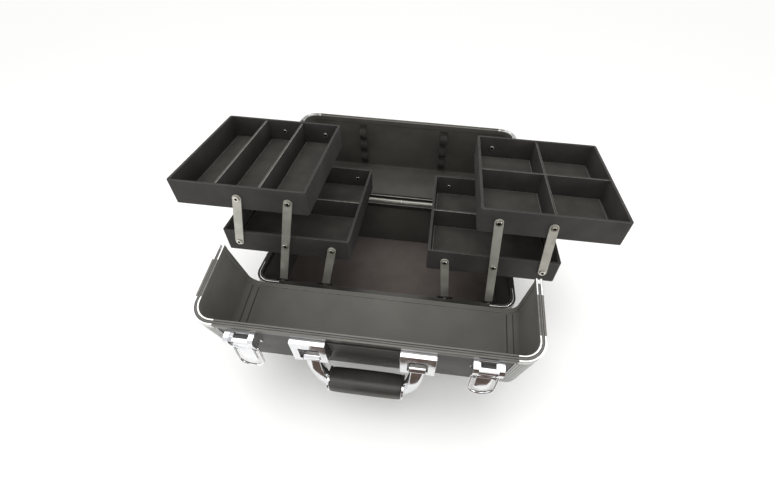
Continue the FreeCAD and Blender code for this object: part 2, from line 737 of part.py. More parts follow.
# Carrying handle: built hanging from a pin at the origin, grip below, then hung on the lid
HANG = "(handle_reach + grip_tall / 2)"
GRIP_TOP = "(handle_reach - grip_tall / 2)"
GRIP_END = "(grip_length / 2)"
BARREL_IN = "(handle_spread - mount_slot / 2 + handle_play)"
BARREL_OUT = "(handle_spread + mount_slot / 2 - handle_play)"
arm_outline = [
    (BARREL_IN, "0"),
    (BARREL_OUT, "0"),
    (BARREL_OUT, "-handle_reach * 0.55"),
    (BARREL_OUT + " - handle_arm_thick / 3", "-handle_reach * 0.9"),
    (GRIP_END + " + grip_tall * 0.37", "-%s + grip_tall * 0.22" % HANG),
    (GRIP_END + " + grip_tall * 0.15", "-%s + grip_tall * 0.04" % HANG),
    (GRIP_END, "-" + HANG),
    (GRIP_END, "-%s + grip_tall * 0.04" % GRIP_TOP),
    (BARREL_IN, "-%s + grip_tall * 0.44" % GRIP_TOP),
]
handle_arm = new_body("handle_arm")
arm_side = new_sketch(handle_arm, "handle_arm_side", "XZ", "-handle_arm_thick / 2")
polygon_outline(arm_side, arm_outline)
pad(handle_arm, "handle_arm_pad", arm_side, "handle_arm_thick")
barrel = rod("handle_barrel_rod", "handle_barrel", BARREL_OUT + " - " + BARREL_IN, BARREL_IN, "0", "0", "X")
barrel_bore = rod("handle_bore", "handle_pin_radius + pin_slack", "far", "0", "0", "0", "X")
right_arm = cut("handle_right_arm", fuse("handle_arm_whole", handle_arm, barrel), barrel_bore)
left_arm = mirrored(right_arm, "handle_left_arm", X_WAY)
grip = rounded_prism(
    "grip",
    "YZ",
    "-" + GRIP_END,
    "grip_length",
    "-grip_thick / 2",
    "grip_thick / 2",
    "-" + HANG,
    "-" + GRIP_TOP,
    "grip_round",
)
pin_spot = V(0, amount(MOUNT_Y + " + handle_pin_back"), amount("lid_top + handle_pin_up"))
handle_place = FreeCAD.Placement(front_swing.multVec(pin_spot), FreeCAD.Rotation())
node("handle_arms", group("handle_arms", [left_arm, right_arm]), handle_place)
node("handle_grip", grip, handle_place)

# Latches: plate with two round-topped ears and a bridge, lever on a pin, bail on the lever
EAR_Y = "(-mount_edge - ear_length)"
LATCH_PIN_Y = "(-mount_edge - ear_length + latch_pin_back)"
LATCH_PIN_Z = "(lid_top + latch_pin_up)"
over_lid = block("over_lid", "-far", "-far", "lid_top", "2 * far", "2 * far", "far")
ears = []
for number, sign in enumerate((-1, 1)):
    ear_blade = rounded_prism(
        "ear_blade%d" % number,
        "YZ",
        "latch_width / 2 - ear_width" if sign > 0 else "-latch_width / 2",
        "ear_width",
        EAR_Y,
        EAR_Y + " + ear_length",
        "lid_top - 2 * ear_round",
        "lid_top + ear_height",
        "ear_round",
    )
    ears.append(common("ear%d" % number, ear_blade, over_lid))
latch_floor = block(
    "latch_floor",
    "-latch_width / 2",
    "-mount_edge - latch_length",
    "lid_top",
    "latch_width",
    "latch_length",
    "latch_thick",
)
latch_bridge = block(
    "latch_bridge",
    "-(latch_width - ear_width) / 2",
    "-mount_edge - bridge_from - bridge_length",
    "lid_top",
    "latch_width - ear_width",
    "bridge_length",
    "bridge_height",
)
lever_space = rod(
    "lever_space",
    "lever_barrel + lever_room",
    "lever_width + lever_gap",
    "-(lever_width + lever_gap) / 2",
    LATCH_PIN_Y,
    LATCH_PIN_Z,
    "X",
)
latch_body = fuse("latch_body", latch_floor, latch_bridge, *ears)
pin_at = ("-latch_width / 2", LATCH_PIN_Y, LATCH_PIN_Z)
latch_pin = rod("latch_pin", "latch_pin_radius", "latch_width", *pin_at, "X")
latch = cut("latch", latch_body, latch_pin, lever_space)
plates = []
latch_pins = []
for number, sign in enumerate((-1, 1)):
    plates.append(again(latch, "latch_plate%d" % number, "%d * latch_spread" % sign))
    latch_pins.append(again(latch_pin, "latch_pin%d" % number, "%d * latch_spread" % sign))
node("latch_plates", group("latch_plates", plates), front_swing)
node("latch_pins", group("latch_pins", latch_pins), front_swing)

lever_blade = rounded_prism(
    "lever_blade",
    "XZ",
    "-lever_thick / 2",
    "lever_thick",
    "-lever_width / 2",
    "lever_width / 2",
    "-lever_length",
    "lever_length",
    "lever_width * 0.47",
)
lever_lower = block(
    "lever_lower",
    "-lever_width",
    "-lever_width",
    "-2 * lever_length",
    "2 * lever_width",
    "2 * lever_width",
    "2 * lever_length",
)
lever_tongue = common("lever_tongue", lever_blade, lever_lower)
lever_end = "-lever_width / 2"
lever_roll = rod("lever_roll", "lever_barrel", "lever_width", lever_end, "0", "0", "X")
bail_roll = rod("bail_roll", "bail_wire / 2 + bail_eye", "lever_width", lever_end, "0", "-bail_at", "X")
lever_bore = rod("lever_bore", "latch_pin_radius + pin_slack", "far", "-far / 2", "0", "0", "X")
bail_bore = rod("bail_bore", "bail_wire / 2 + pin_slack", "far", "-far / 2", "0", "-bail_at", "X")
lever = cut("lever", fuse("lever_whole", lever_tongue, lever_roll, bail_roll), lever_bore, bail_bore)
bow_outer = rounded_prism(
    "bow_outer",
    "XZ",
    "-bail_wire / 2",
    "bail_wire",
    "-bail_half",
    "bail_half",
    "-bail_length",
    "bail_length",
    "bail_round",
)
bow_inner = rounded_prism(
    "bow_inner",
    "XZ",
    "-bail_wire",
    "2 * bail_wire",
    "-bail_half + bail_wire",
    "bail_half - bail_wire",
    "-bail_length + bail_wire",
    "bail_length",
    "bail_round - bail_wire",
)
bow_keep = block(
    "bow_keep",
    "-2 * bail_half",
    "-bail_wire",
    "-2 * bail_length",
    "4 * bail_half",
    "2 * bail_wire",
    "2 * bail_length",
)
bow = common("bow", cut("bow_ring", bow_outer, bow_inner), bow_keep)
bail_bar = rod("bail_bar", "bail_wire / 2", "2 * bail_half", "-bail_half", "0", "0", "X")
bail = fuse("bail", bow, bail_bar)
for side, sign in (("left", -1), ("right", 1)):
    latch_spot = V(sign * amount("latch_spread"), amount(LATCH_PIN_Y), amount(LATCH_PIN_Z))
    lever_spot = front_swing.multVec(latch_spot)
    lever_place = FreeCAD.Placement(lever_spot, FreeCAD.Rotation())
    bail_place = FreeCAD.Placement(lever_spot - V(0, 0, amount("bail_at")), FreeCAD.Rotation())
    node(side + "_latch_lever", group(side + "_latch_lever", [lever]), lever_place)
    node(side + "_latch_bail", group(side + "_latch_bail", [bail]), bail_place)

# Latch strikes on top of the rear lid, built at the front and swung with the rear lid
strike_plate = block(
    "strike_plate",
    "-strike_width / 2",
    "-mount_edge - strike_length",
    "lid_top",
    "strike_width",
    "strike_length",
    "latch_thick",
)
strike_hook = block(
    "strike_hook",
    "-strike_width / 2",
    "-mount_edge - hook_from - hook_thick",
    "lid_top",
    "strike_width",
    "hook_thick",
    "strike_height",
)
strike_nose = block(
    "strike_nose",
    "-strike_width / 2",
    "-mount_edge - hook_from - nose_length",
    "lid_top + strike_height - nose_thick",
    "strike_width",
    "nose_length",
    "nose_thick",
)
strike = fuse("strike", strike_plate, strike_hook, strike_nose)
strikes = []
for number, sign in enumerate((-1, 1)):
    strikes.append(again(strike, "strike%d" % number, "%d * latch_spread" % sign))
node("latch_strikes", group("latch_strikes", strikes), rear_swing)

# Brush straps under the top of the rear lid: a flat band with three raised loops
STRAP_Z = "(lid_top - wall - lining)"
strap_band = block(
    "strap_band",
    "-strap_wide / 2",
    "-strap_from - %d * loop_pitch - strap_tab" % LOOPS,
    STRAP_Z + " - strap_thick",
    "strap_wide",
    "%d * loop_pitch + 2 * strap_tab" % LOOPS,
    "strap_thick",
)
strap_parts = [strap_band]
under_top = block("under_top", "-far", "-far", "0", "2 * far", "2 * far", STRAP_Z + " - strap_thick / 2")
for number in range(LOOPS):
    near = "-strap_from - %d * loop_pitch" % (number + 1)
    outer = rounded_prism(
        "loop_outer%d" % number,
        "YZ",
        "-strap_wide / 2",
        "strap_wide",
        near,
        near + " + loop_pitch",
        STRAP_Z + " - loop_high",
        STRAP_Z + " + loop_high",
        "loop_round",
    )
    inner = rounded_prism(
        "loop_inner%d" % number,
        "YZ",
        "-strap_wide",
        "2 * strap_wide",
        near + " + strap_thick",
        near + " + loop_pitch - strap_thick",
        STRAP_Z + " - loop_high + strap_thick",
        STRAP_Z + " + loop_high - strap_thick",
        "loop_round - strap_thick",
    )
    strap_parts.append(common("loop%d" % number, cut("loop_ring%d" % number, outer, inner), under_top))
strap = fuse("strap", *strap_parts)
for side, reach in (("left", "strap_left"), ("right", "-strap_right")):
    one = again(strap, side + "_strap_at", reach)
    node(side + "_brush_strap", group(side + "_brush_strap", [one]), rear_swing)

# Trays: built with the inner edge at x = 0 and the rivets at z = 0, for the right side
TRAY_LOW = "(pivot_below_rim - tray_height)"
INNER_X = "(tray_width - 2 * tray_wall)"
INNER_Y = "(tray_depth - 2 * tray_wall)"


def tray_tub(name, holes):
    tub = new_body(name + "_tub")
    half_y = "tray_depth / 2"
    outline = new_sketch(tub, name + "_outline", "XY", TRAY_LOW)
    rounded_outline(outline, "0", "tray_width", "-" + half_y, half_y, "tray_round")
    pad(tub, name + "_pad", outline, "tray_height")
    hollow = new_sketch(tub, name + "_hollow", "XY", TRAY_LOW + " + tray_floor")
    inset_y = half_y + " - tray_wall"
    far_x = "tray_width - tray_wall"
    rounded_outline(hollow, "tray_wall", far_x, "-(%s)" % inset_y, inset_y, "tray_round / 2")
    pocket(tub, name + "_pocket", hollow, "tray_height")
    drills = [
        rod("%s_hole%d" % (name, number), "rivet_radius", "tray_depth * 2", spot, "-tray_depth", "0", "Y")
        for number, spot in enumerate(holes)
    ]
    return cut(name, tub, *drills)


tray_rivet = fuse(
    "tray_rivet",
    rod("tray_shank", "rivet_radius", "tray_wall + arm_thick + 2 * arm_gap", "0", "-arm_back", "0", "Y"),
    rod("tray_head", "head_radius", "head_thick", "0", "-arm_back - head_thick", "0", "Y"),
    rod("tray_tail", "head_radius", "head_thick", "0", "-tray_depth / 2 + tray_wall", "0", "Y"),
)
WALL_Z = TRAY_LOW + " + tray_floor"
DIVIDER_HIGH = "tray_height - tray_floor - divider_drop"


def cross_board(name, x):
    """A divider that runs front to rear."""
    low_x = "%s - divider_thick / 2" % x
    return block(name, low_x, "-%s / 2" % INNER_Y, WALL_Z, "divider_thick", INNER_Y, DIVIDER_HIGH)


def long_board(name):
    """A divider that runs left to right at mid depth."""
    return block(name, "tray_wall", "-divider_thick / 2", WALL_Z, INNER_X, "divider_thick", DIVIDER_HIGH)


def left_upper_boards():
    spots = ["(tray_wall + %d * %s / 3)" % (number, INNER_X) for number in (1, 2)]
    return [cross_board("left_upper_board%d" % number, spot) for number, spot in enumerate(spots)]


def right_upper_boards():
    """A cross board notched round the rivet tails, and a row on each side of it."""
    board = cross_board("right_upper_board", "(tray_width / 2)")
    cross = board
    radius = "head_radius + notch_play"
    depth = "2 * (head_thick + notch_play)"
    for number, end in enumerate(("-%s / 2" % INNER_Y, "%s / 2" % INNER_Y)):
        start = "%s - head_thick - notch_play" % end
        spot = ("upper_inset + rivet_pitch", start, "0")
        notch = rod("right_upper_notch%d" % number, radius, depth, *spot, "Y")
        cross = cut("right_upper_cross%d" % number, cross, notch)
    rows = cut("right_upper_rows", long_board("right_upper_row"), board)
    return [cross, rows]


BOARDS = {
    ("left", "upper"): left_upper_boards,
    ("right", "upper"): right_upper_boards,
    ("left", "lower"): lambda: [long_board("left_lower_board")],
    ("right", "lower"): lambda: [long_board("right_lower_board")],
}


def arm_bar(name, rivets):
    """A flat bar with round ends and one hole to each rivet, hanging in front of the trays."""
    bar = new_body(name + "_bar")
    side_view = new_sketch(bar, name + "_side", "XZ", "arm_face")
    end = "(arm_width / 2)"
    top = "%d * arm_length + %s" % (rivets - 1, end)
    rounded_outline(side_view, "-" + end, end, "-" + end, top, "arm_width * 0.498")
    pad(bar, name + "_pad", side_view, "arm_thick")
    drills = []
    hole = "rivet_radius + pin_slack"
    for number in range(rivets):
        height = "%d * arm_length" % number
        drills.append(rod("%s_hole%d" % (name, number), hole, "far", "0", "-far", height, "Y"))
    return cut(name, bar, *drills)


long_arm = arm_bar("long_arm", 3)
short_arm = arm_bar("short_arm", 2)


def arm_pair(name, bar):
    front = again(bar, name + "_front")
    rear = again(bar, name + "_rear", turn=turned(Z_WAY, 180))
    return group(name, [front, rear])


pivot_z = amount("pivot_z")
length = amount("arm_length")
for side, sign in (("left", -1), ("right", 1)):
    lean = amount(side + "_lean")
    shift = length * math.sin(math.radians(lean))
    rise = length * math.cos(math.radians(lean))
    lean_turn = turned(Y_WAY, -sign * lean)
    side_turn = FreeCAD.Rotation() if sign > 0 else half_turn
    inner_pivot = amount("base_pivot_x")
    outer_pivot = amount("base_pivot_x + rivet_pitch")
    lower_edge = inner_pivot - shift - amount("lower_inset")
    upper_edge = outer_pivot - 2 * shift - amount("upper_inset")
    edges = {"lower": (lower_edge, pivot_z + rise), "upper": (upper_edge, pivot_z + 2 * rise)}
    pitches = {"lower": 3, "upper": 2}
    for level, (edge, height) in edges.items():
        name = side + "_" + level
        place = FreeCAD.Placement(V(sign * edge, 0, height), side_turn)
        holes = ["%s_inset + %d * rivet_pitch" % (level, number) for number in range(pitches[level])]
        node(name + "_tray", tray_tub(name + "_tray", holes), place)
        boards = BOARDS[side, level]()
        divider = "_dividers" if level == "upper" else "_divider"
        node(name + divider, group(name + divider, boards), place)
        rivets = []
        for number, spot in enumerate(holes):
            rivets.append(again(tray_rivet, "%s_rivet_front%d" % (name, number), spot))
            rivets.append(again(tray_rivet, "%s_rivet_rear%d" % (name, number), spot, turn=half_turn))
        node(name + "_rivets", group(name + "_rivets", rivets), place)
    base_place = FreeCAD.Placement(V(sign * outer_pivot, 0, pivot_z), lean_turn)
    node(side + "_long_arms", arm_pair(side + "_long_arms", long_arm), base_place)
    base_place = FreeCAD.Placement(V(sign * inner_pivot, 0, pivot_z), lean_turn)
    node(side + "_inner_arms", arm_pair(side + "_inner_arms", short_arm), base_place)
    reach = lower_edge + amount("lower_inset + 2 * rivet_pitch")
    tray_place = FreeCAD.Placement(V(sign * reach, 0, pivot_z + rise), lean_turn)
    node(side + "_outer_arms", arm_pair(side + "_outer_arms", short_arm), tray_place)

doc.recompute()
for thing in doc.Objects:
    faults = [word for word in thing.State if word in ("Invalid", "Error")]
    if faults:
        raise RuntimeError("%s is %s" % (thing.Name, faults))
os.makedirs("parts", exist_ok=True)
for label, thing in NODES:
    shape = thing.Shape
    if shape.isNull() or not shape.isValid() or not shape.Solids:
        raise RuntimeError("%s has no valid solid" % label)
    shape.exportStep("parts/%s.step" % label)
print("wrote %d pieces" % len(NODES))
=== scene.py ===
import json
import math

import bmesh
import bpy
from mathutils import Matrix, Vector
from mathutils.geometry import interpolate_bezier

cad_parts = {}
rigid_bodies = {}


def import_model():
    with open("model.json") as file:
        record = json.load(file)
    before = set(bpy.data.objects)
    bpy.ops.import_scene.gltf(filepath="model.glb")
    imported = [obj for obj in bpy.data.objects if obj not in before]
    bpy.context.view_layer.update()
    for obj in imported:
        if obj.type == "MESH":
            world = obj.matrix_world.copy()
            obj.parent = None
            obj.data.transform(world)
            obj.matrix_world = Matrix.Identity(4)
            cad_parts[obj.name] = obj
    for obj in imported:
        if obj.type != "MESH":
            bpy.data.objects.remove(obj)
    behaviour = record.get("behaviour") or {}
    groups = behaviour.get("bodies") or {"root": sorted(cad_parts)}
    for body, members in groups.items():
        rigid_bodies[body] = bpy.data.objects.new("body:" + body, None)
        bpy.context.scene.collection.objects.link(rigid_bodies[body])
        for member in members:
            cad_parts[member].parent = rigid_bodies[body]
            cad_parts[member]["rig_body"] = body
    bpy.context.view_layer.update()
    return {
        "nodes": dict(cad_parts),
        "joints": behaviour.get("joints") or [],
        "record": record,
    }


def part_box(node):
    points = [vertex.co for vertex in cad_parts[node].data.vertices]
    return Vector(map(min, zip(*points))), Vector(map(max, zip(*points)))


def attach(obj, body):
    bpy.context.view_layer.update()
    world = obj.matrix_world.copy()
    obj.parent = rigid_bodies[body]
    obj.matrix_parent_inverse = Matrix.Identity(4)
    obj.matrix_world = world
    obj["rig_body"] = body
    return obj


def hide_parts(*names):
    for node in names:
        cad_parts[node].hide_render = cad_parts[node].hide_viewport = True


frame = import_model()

mm = 0.001
nodes = frame["nodes"]
slotOf = {row["node"]: row["material_slot"] for row in frame["record"]["subparts"]}
jointAt = {row["name"]: Vector(row["pos_m"]) / mm for row in frame["joints"]}  # pivots in mm
xWay, yWay, zWay = Vector((1, 0, 0)), Vector((0, 1, 0)), Vector((0, 0, 1))
print("frame loaded:", len(nodes), "nodes")


# Finishes
def linear(hexText):
    raw = [int(hexText[i:i + 2], 16) / 255 for i in (1, 3, 5)]
    return (*[c / 12.92 if c <= 0.04045 else ((c + 0.055) / 1.055) ** 2.4 for c in raw], 1.0)


def addNode(tree, kind, inputs=None, **settings):
    node = tree.nodes.new(kind)
    for name, value in settings.items():
        setattr(node, name, value)
    for key, value in (inputs or {}).items():
        for item in value if isinstance(value, list) else [value]:
            if isinstance(item, bpy.types.Node):
                item = item.outputs[0]
            if isinstance(item, bpy.types.NodeSocket):
                tree.links.new(item, node.inputs[key])
            else:
                node.inputs[key].default_value = item
    return node


# One recipe for every finish: two close tones in soft patches, a grain that is felt in the bump, a
# roughness that drifts, and where asked pale eased edges (partly wear, partly painted highlight) and
# painted shade in hollows. Sizes are in mm.
recipe = {
    "toneStops": (0.35, 0.65), "patchDetail": 3.0, "grainDetail": 4.0, "edgeBreakup": 6.0, "edgeBreakupDetail": 2.0,
    "driftFrom": (0.3, 0.7), "wavesPerUnit": 3.2,  # ribs of a wave texture at scale 1
}


def makeFinish(name, look):
    material = bpy.data.materials.new(name)
    material.use_nodes = True
    tree = material.node_tree
    shader = tree.nodes["Principled BSDF"]
    shader.inputs["Metallic"].default_value = look.get("metal", 0.0)
    for socket, value in look.get("sockets", {}).items():
        shader.inputs[socket].default_value = value
    place = addNode(tree, "ShaderNodeTexCoord").outputs["Object"]
    if "stretch" in look:
        place = addNode(tree, "ShaderNodeMapping", {"Vector": place, "Scale": look["stretch"]}).outputs[0]
    patchLook = {"Vector": place, "Scale": 1 / (look["patch"] * mm), "Detail": recipe["patchDetail"]}
    patches = addNode(tree, "ShaderNodeTexNoise", patchLook)
    tone = addNode(tree, "ShaderNodeValToRGB", {"Fac": patches})
    for stop, at, shade in zip(tone.color_ramp.elements, recipe["toneStops"], look["tones"]):
        stop.position = at
        stop.color = linear(shade)
    grainLook = {"Vector": place, "Scale": 1 / (look["grain"] * mm)}
    if look.get("cells"):
        grain = addNode(tree, "ShaderNodeTexVoronoi", grainLook, feature="SMOOTH_F1")
    elif "ribs" in look:  # straight ribs, one period per grain width
        grainLook.update(Scale=grainLook["Scale"] / recipe["wavesPerUnit"], Distortion=look["ribs"])
        grain = addNode(tree, "ShaderNodeTexWave", grainLook, bands_direction=look["across"])
    else:
        grain = addNode(tree, "ShaderNodeTexNoise", dict(grainLook, Detail=recipe["grainDetail"]))
    color = tone.outputs[0]
    if "wear" in look:  # pale edges, partly rubbed wear and partly painted highlight, from the attribute that the easing leaves on bevelled corners
        edge = addNode(tree, "ShaderNodeAttribute", attribute_name="edgeWear")
        edgeBreakupLook = {"Vector": place, "Scale": 1 / (recipe["edgeBreakup"] * mm), "Detail": recipe["edgeBreakupDetail"]}
        edgeBreakup = addNode(tree, "ShaderNodeTexNoise", edgeBreakupLook)
        share = addNode(tree, "ShaderNodeMath", {0: edge.outputs["Fac"], 1: edgeBreakup}, operation="MULTIPLY")
        gain = addNode(tree, "ShaderNodeMath", {0: share, 1: look["wearAndGlintGain"]}, operation="MULTIPLY")
        gain.use_clamp = True
        wornAndGlinting = {0: gain, 6: color, 7: linear(look["wear"])}
        color = addNode(tree, "ShaderNodeMix", wornAndGlinting, data_type="RGBA").outputs[2]
    if "recess" in look:  # painted shade: the dome that fills a tubular rivet's bore and the valleys between rolled ribs are darkened
        paintedShadeMask = addNode(tree, "ShaderNodeAttribute", attribute_name="recess")
        deep = {0: paintedShadeMask.outputs["Fac"], 6: color, 7: linear(look["recess"])}
        color = addNode(tree, "ShaderNodeMix", deep, data_type="RGBA").outputs[2]
    tree.links.new(color, shader.inputs["Base Color"])
    drift = dict(zip(("From Min", "From Max", "To Min", "To Max"), recipe["driftFrom"] + look["rough"]))
    drift["Value"] = patches
    tree.links.new(addNode(tree, "ShaderNodeMapRange", drift).outputs[0], shader.inputs["Roughness"])
    relief = {"Height": grain.outputs[0], "Strength": look["relief"], "Distance": look["depth"] * mm}
    tree.links.new(addNode(tree, "ShaderNodeBump", relief).outputs[0], shader.inputs["Normal"])
    return material


# Vacuum-formed ABS sheet with an embossed leather grain: near black, a soft broken highlight.
panelFinish = makeFinish("absSheet_embossed", {
    "tones": ("#2c2927", "#363330"), "patch": 45, "rough": (0.38, 0.5), "grain": 2.2, "cells": True,
    "relief": 0.3, "depth": 0.2, "wear": "#6a6762", "wearAndGlintGain": 0.8, "sockets": {"Specular IOR Level": 0.3},
})
# Paper-wrapped lining board: flat mid grey, hardly any gloss, a fine cross-grained press mark.
liningFinish = makeFinish("liningBoard_greyWrap", {
    "tones": ("#5d5c57", "#686762"), "patch": 60, "rough": (0.62, 0.78), "grain": 2.6, "relief": 0.2,
    "depth": 0.15, "wear": "#8b8a84", "wearAndGlintGain": 0.9, "sockets": {"Specular IOR Level": 0.2},
})
# The same board and grey wrap in the base and the rear lid, its tones set darker as painted shade.
shadedLiningFinish = makeFinish("liningBoard_greyWrapShaded", {
    "tones": ("#484642", "#54524d"), "patch": 55, "rough": (0.6, 0.75), "grain": 2.4, "relief": 0.2,
    "depth": 0.15, "wear": "#77756f", "wearAndGlintGain": 0.9, "sockets": {"Specular IOR Level": 0.2},
})
# The wrap where it is scored and folded: a thin dark line, painted shade in the fold.
foldShadeFinish = makeFinish("liningBoard_foldShade", {
    "tones": ("#2c2b28", "#363532"), "patch": 20, "rough": (0.7, 0.85), "grain": 1.2, "relief": 0.2,
    "depth": 0.1,
})
# Needled felt: brownish grey, no gloss, a pile that catches light at the rim.
feltFinish = makeFinish("felt_needled", {
    "tones": ("#625a56", "#68605c"), "patch": 24, "rough": (0.92, 0.98), "grain": 1.6, "relief": 0.7,
    "depth": 0.5, "sockets": {"Specular IOR Level": 0.1, "Sheen Weight": 0.15, "Sheen Roughness": 0.5},
})
# Extruded aluminium, anodised gunmetal: satin, draw lines along the run.
gunmetalFinish = makeFinish("aluminium_gunmetalAnodised", {
    "tones": ("#504f4b", "#5d5c57"), "patch": 30, "rough": (0.28, 0.38), "metal": 1.0, "grain": 0.8,
    "stretch": (0.08, 1.0, 1.0), "relief": 0.08, "depth": 0.05, "wear": "#94938d", "wearAndGlintGain": 0.7,
})
# The same extrusion anodised black where the halves meet: dark faces, bright edge lines that are partly rub
# and partly painted highlight.
blackFrameFinish = makeFinish("aluminium_blackAnodised", {
    "tones": ("#383734", "#444340"), "patch": 30, "rough": (0.3, 0.42), "metal": 0.6, "grain": 0.8,
    "stretch": (0.08, 1.0, 1.0), "relief": 0.08, "depth": 0.05, "wear": "#a3a29b", "wearAndGlintGain": 1.3,
})
# Extruded aluminium, polished: bright with a faint haze.
brightFinish = makeFinish("aluminium_polished", {
    "tones": ("#b9b9b7", "#c9c9c7"), "patch": 30, "rough": (0.16, 0.26), "metal": 1.0, "grain": 1.2,
    "stretch": (0.1, 1.0, 1.0), "relief": 0.05, "depth": 0.05,
})
# Die-cast zinc, polished and chrome plated: mirror bright, slight orange peel and finger haze.
chromeFinish = makeFinish("zincCasting_chromePlated", {
    "tones": ("#dcdde0", "#ececee"), "patch": 14, "rough": (0.05, 0.13), "metal": 1.0, "grain": 5.0,
    "relief": 0.04, "depth": 0.2,
})
# Pressed steel caps with rolled ribs, nickel plated: grey; painted shade darkens the rib valleys, and the
# pale eased edges are wear and painted highlight.
capFinish = makeFinish("steelCap_ribRolled", {
    "tones": ("#a6a7a4", "#b9bab7"), "patch": 20, "rough": (0.24, 0.36), "metal": 0.85, "grain": 1.2,
    "relief": 0.1, "depth": 0.1, "wear": "#e2e2df", "wearAndGlintGain": 1.4, "recess": "#4c4c49",
})
# Steel brackets in stoved black enamel: deep black with a tight gloss. Also the finish of the blocks painted
# as shade in the latch notches.
enamelAndShadeFinish = makeFinish("steel_blackEnamelAndNotchShade", {
    "tones": ("#151515", "#1d1c1b"), "patch": 18, "rough": (0.25, 0.38), "grain": 3.0, "relief": 0.1,
    "depth": 0.1, "wear": "#55534f", "wearAndGlintGain": 0.6,
})
# Tubular steel rivets, nickel plated: warm bright rims round a bore whose dark is painted shade.
rivetFinish = makeFinish("steelRivet_nickelPlated", {
    "tones": ("#bdbab1", "#d2cfc7"), "patch": 5, "rough": (0.16, 0.28), "metal": 1.0, "grain": 2.0,
    "relief": 0.05, "depth": 0.05, "recess": "#16140f",
})
# Rolled steel strip, zinc plated: warm grey, dull, with faint rolling lines.
stripFinish = makeFinish("steelStrip_zincPlated", {
    "tones": ("#a8a69d", "#bcbab1"), "patch": 16, "rough": (0.38, 0.5), "metal": 0.5, "grain": 1.4,
    "relief": 0.1, "depth": 0.1, "wear": "#d9d7cf", "wearAndGlintGain": 0.9,
})
# Greyboard wrapped in black vinyl: fine leather grain, folds at the edges pale, partly rubbed and partly
# painted highlight.
trayFinish = makeFinish("greyboard_vinylWrapped", {
    "tones": ("#383735", "#42403e"), "patch": 35, "rough": (0.55, 0.68), "grain": 2.0, "cells": True,
    "relief": 0.25, "depth": 0.15, "wear": "#94918a", "wearAndGlintGain": 1.6,
    "sockets": {"Specular IOR Level": 0.12},
})
# Flocked card laid in the bottom of the trays: matt, its tones a step lighter than the walls as painted light
# on the up-facing floor; pale edges of wear and painted highlight.
trayFloorLitFinish = makeFinish("card_flocked_litTone", {
    "tones": ("#3f3d3a", "#494743"), "patch": 28, "rough": (0.8, 0.92), "grain": 1.8, "relief": 0.3,
    "depth": 0.2, "wear": "#8f8d86", "wearAndGlintGain": 2.2, "sockets": {"Specular IOR Level": 0.15},
})
# Soft PVC moulding: charcoal, satin, a fine stipple from the tool.
gripFinish = makeFinish("pvc_softMoulded", {
    "tones": ("#343330", "#3e3d3a"), "patch": 22, "rough": (0.34, 0.46), "grain": 1.4, "relief": 0.12,
    "depth": 0.1,
})
# Woven elastic webbing: black, matt, cords across the band. Drawn coarser than the real 0.8 mm rib.
elasticFinish = makeFinish("elastic_woven", {
    "tones": ("#2b2a27", "#3a3935"), "patch": 10, "rough": (0.7, 0.85), "grain": 1.6, "ribs": 0.3,
    "across": "Z", "relief": 0.6, "depth": 0.3, "sockets": {"Specular IOR Level": 0.25},
})
# Sewing thread, spun polyester: grey and dry.
threadFinish = makeFinish("polyesterThread_spun", {
    "tones": ("#3a3936", "#484743"), "patch": 4, "rough": (0.7, 0.85), "grain": 0.6, "relief": 0.3,
    "depth": 0.1,
})
# Extruded rubber bead: charcoal with a dull bloom.
rubberFinish = makeFinish("rubberBead_extruded", {
    "tones": ("#5b5a57", "#686764"), "patch": 20, "rough": (0.55, 0.7), "grain": 1.5, "relief": 0.1,
    "depth": 0.1,
})
print("finishes made:", len(bpy.data.materials))


# Mesh helpers: points in mm, meshes in metres
easing = {
    "mergeGap": 0.002,  # mm, closes the loose triangles of a node
    "flatTurn": 0.6,  # degrees, triangles flatter than this are one face
    "sharpTurn": 38,  # degrees, corners sharper than this are eased
    "smoothTo": 40,  # degrees, shading runs smoothly over flatter corners
}


def putInScene(name, data):
    item = bpy.data.objects.new(name, data)
    bpy.context.scene.collection.objects.link(item)
    return item


def shadeSmooth(mesh, smoothTo):
    mesh.shade_smooth()
    mesh.set_sharp_from_angle(angle=math.radians(smoothTo))
    return mesh


def meshFrom(bm, name, smoothTo=easing["smoothTo"]):
    bmesh.ops.recalc_face_normals(bm, faces=bm.faces)
    mesh = bpy.data.meshes.new(name)
    bm.to_mesh(mesh)
    bm.free()
    return shadeSmooth(mesh, smoothTo)


def addPiece(name, mesh, body, finish=None, replaced=()):
    piece = putInScene(name, mesh)
    if finish:
        mesh.materials.clear()
        mesh.materials.append(finish)
    piece.modifiers.new("flatNormals", "WEIGHTED_NORMAL").keep_sharp = True
    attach(piece, body)
    if replaced:
        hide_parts(*replaced)


def standIn(nodeName, mesh, finish=None):  # a dressed copy takes the place of its node
    body, slot = nodes[nodeName]["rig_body"], slotOf[nodeName]
    addPiece(nodeName + "_eased", mesh, body, finish, [nodeName])


def mergedNode(nodeName):
    bm = bmesh.new()
    bm.from_mesh(nodes[nodeName].data)
    bmesh.ops.remove_doubles(bm, verts=bm.verts, dist=easing["mergeGap"] * mm)
    return bm


def facedNode(nodeName):
    bm = mergedNode(nodeName)
    flatTurn = math.radians(easing["flatTurn"])
    bmesh.ops.dissolve_limit(bm, angle_limit=flatTurn, verts=bm.verts, edges=bm.edges)
    return bm


def cutAcross(bm, spot, way):
    everything = bm.verts[:] + bm.edges[:] + bm.faces[:]
    bmesh.ops.bisect_plane(bm, geom=everything, plane_co=spot * mm, plane_no=way)


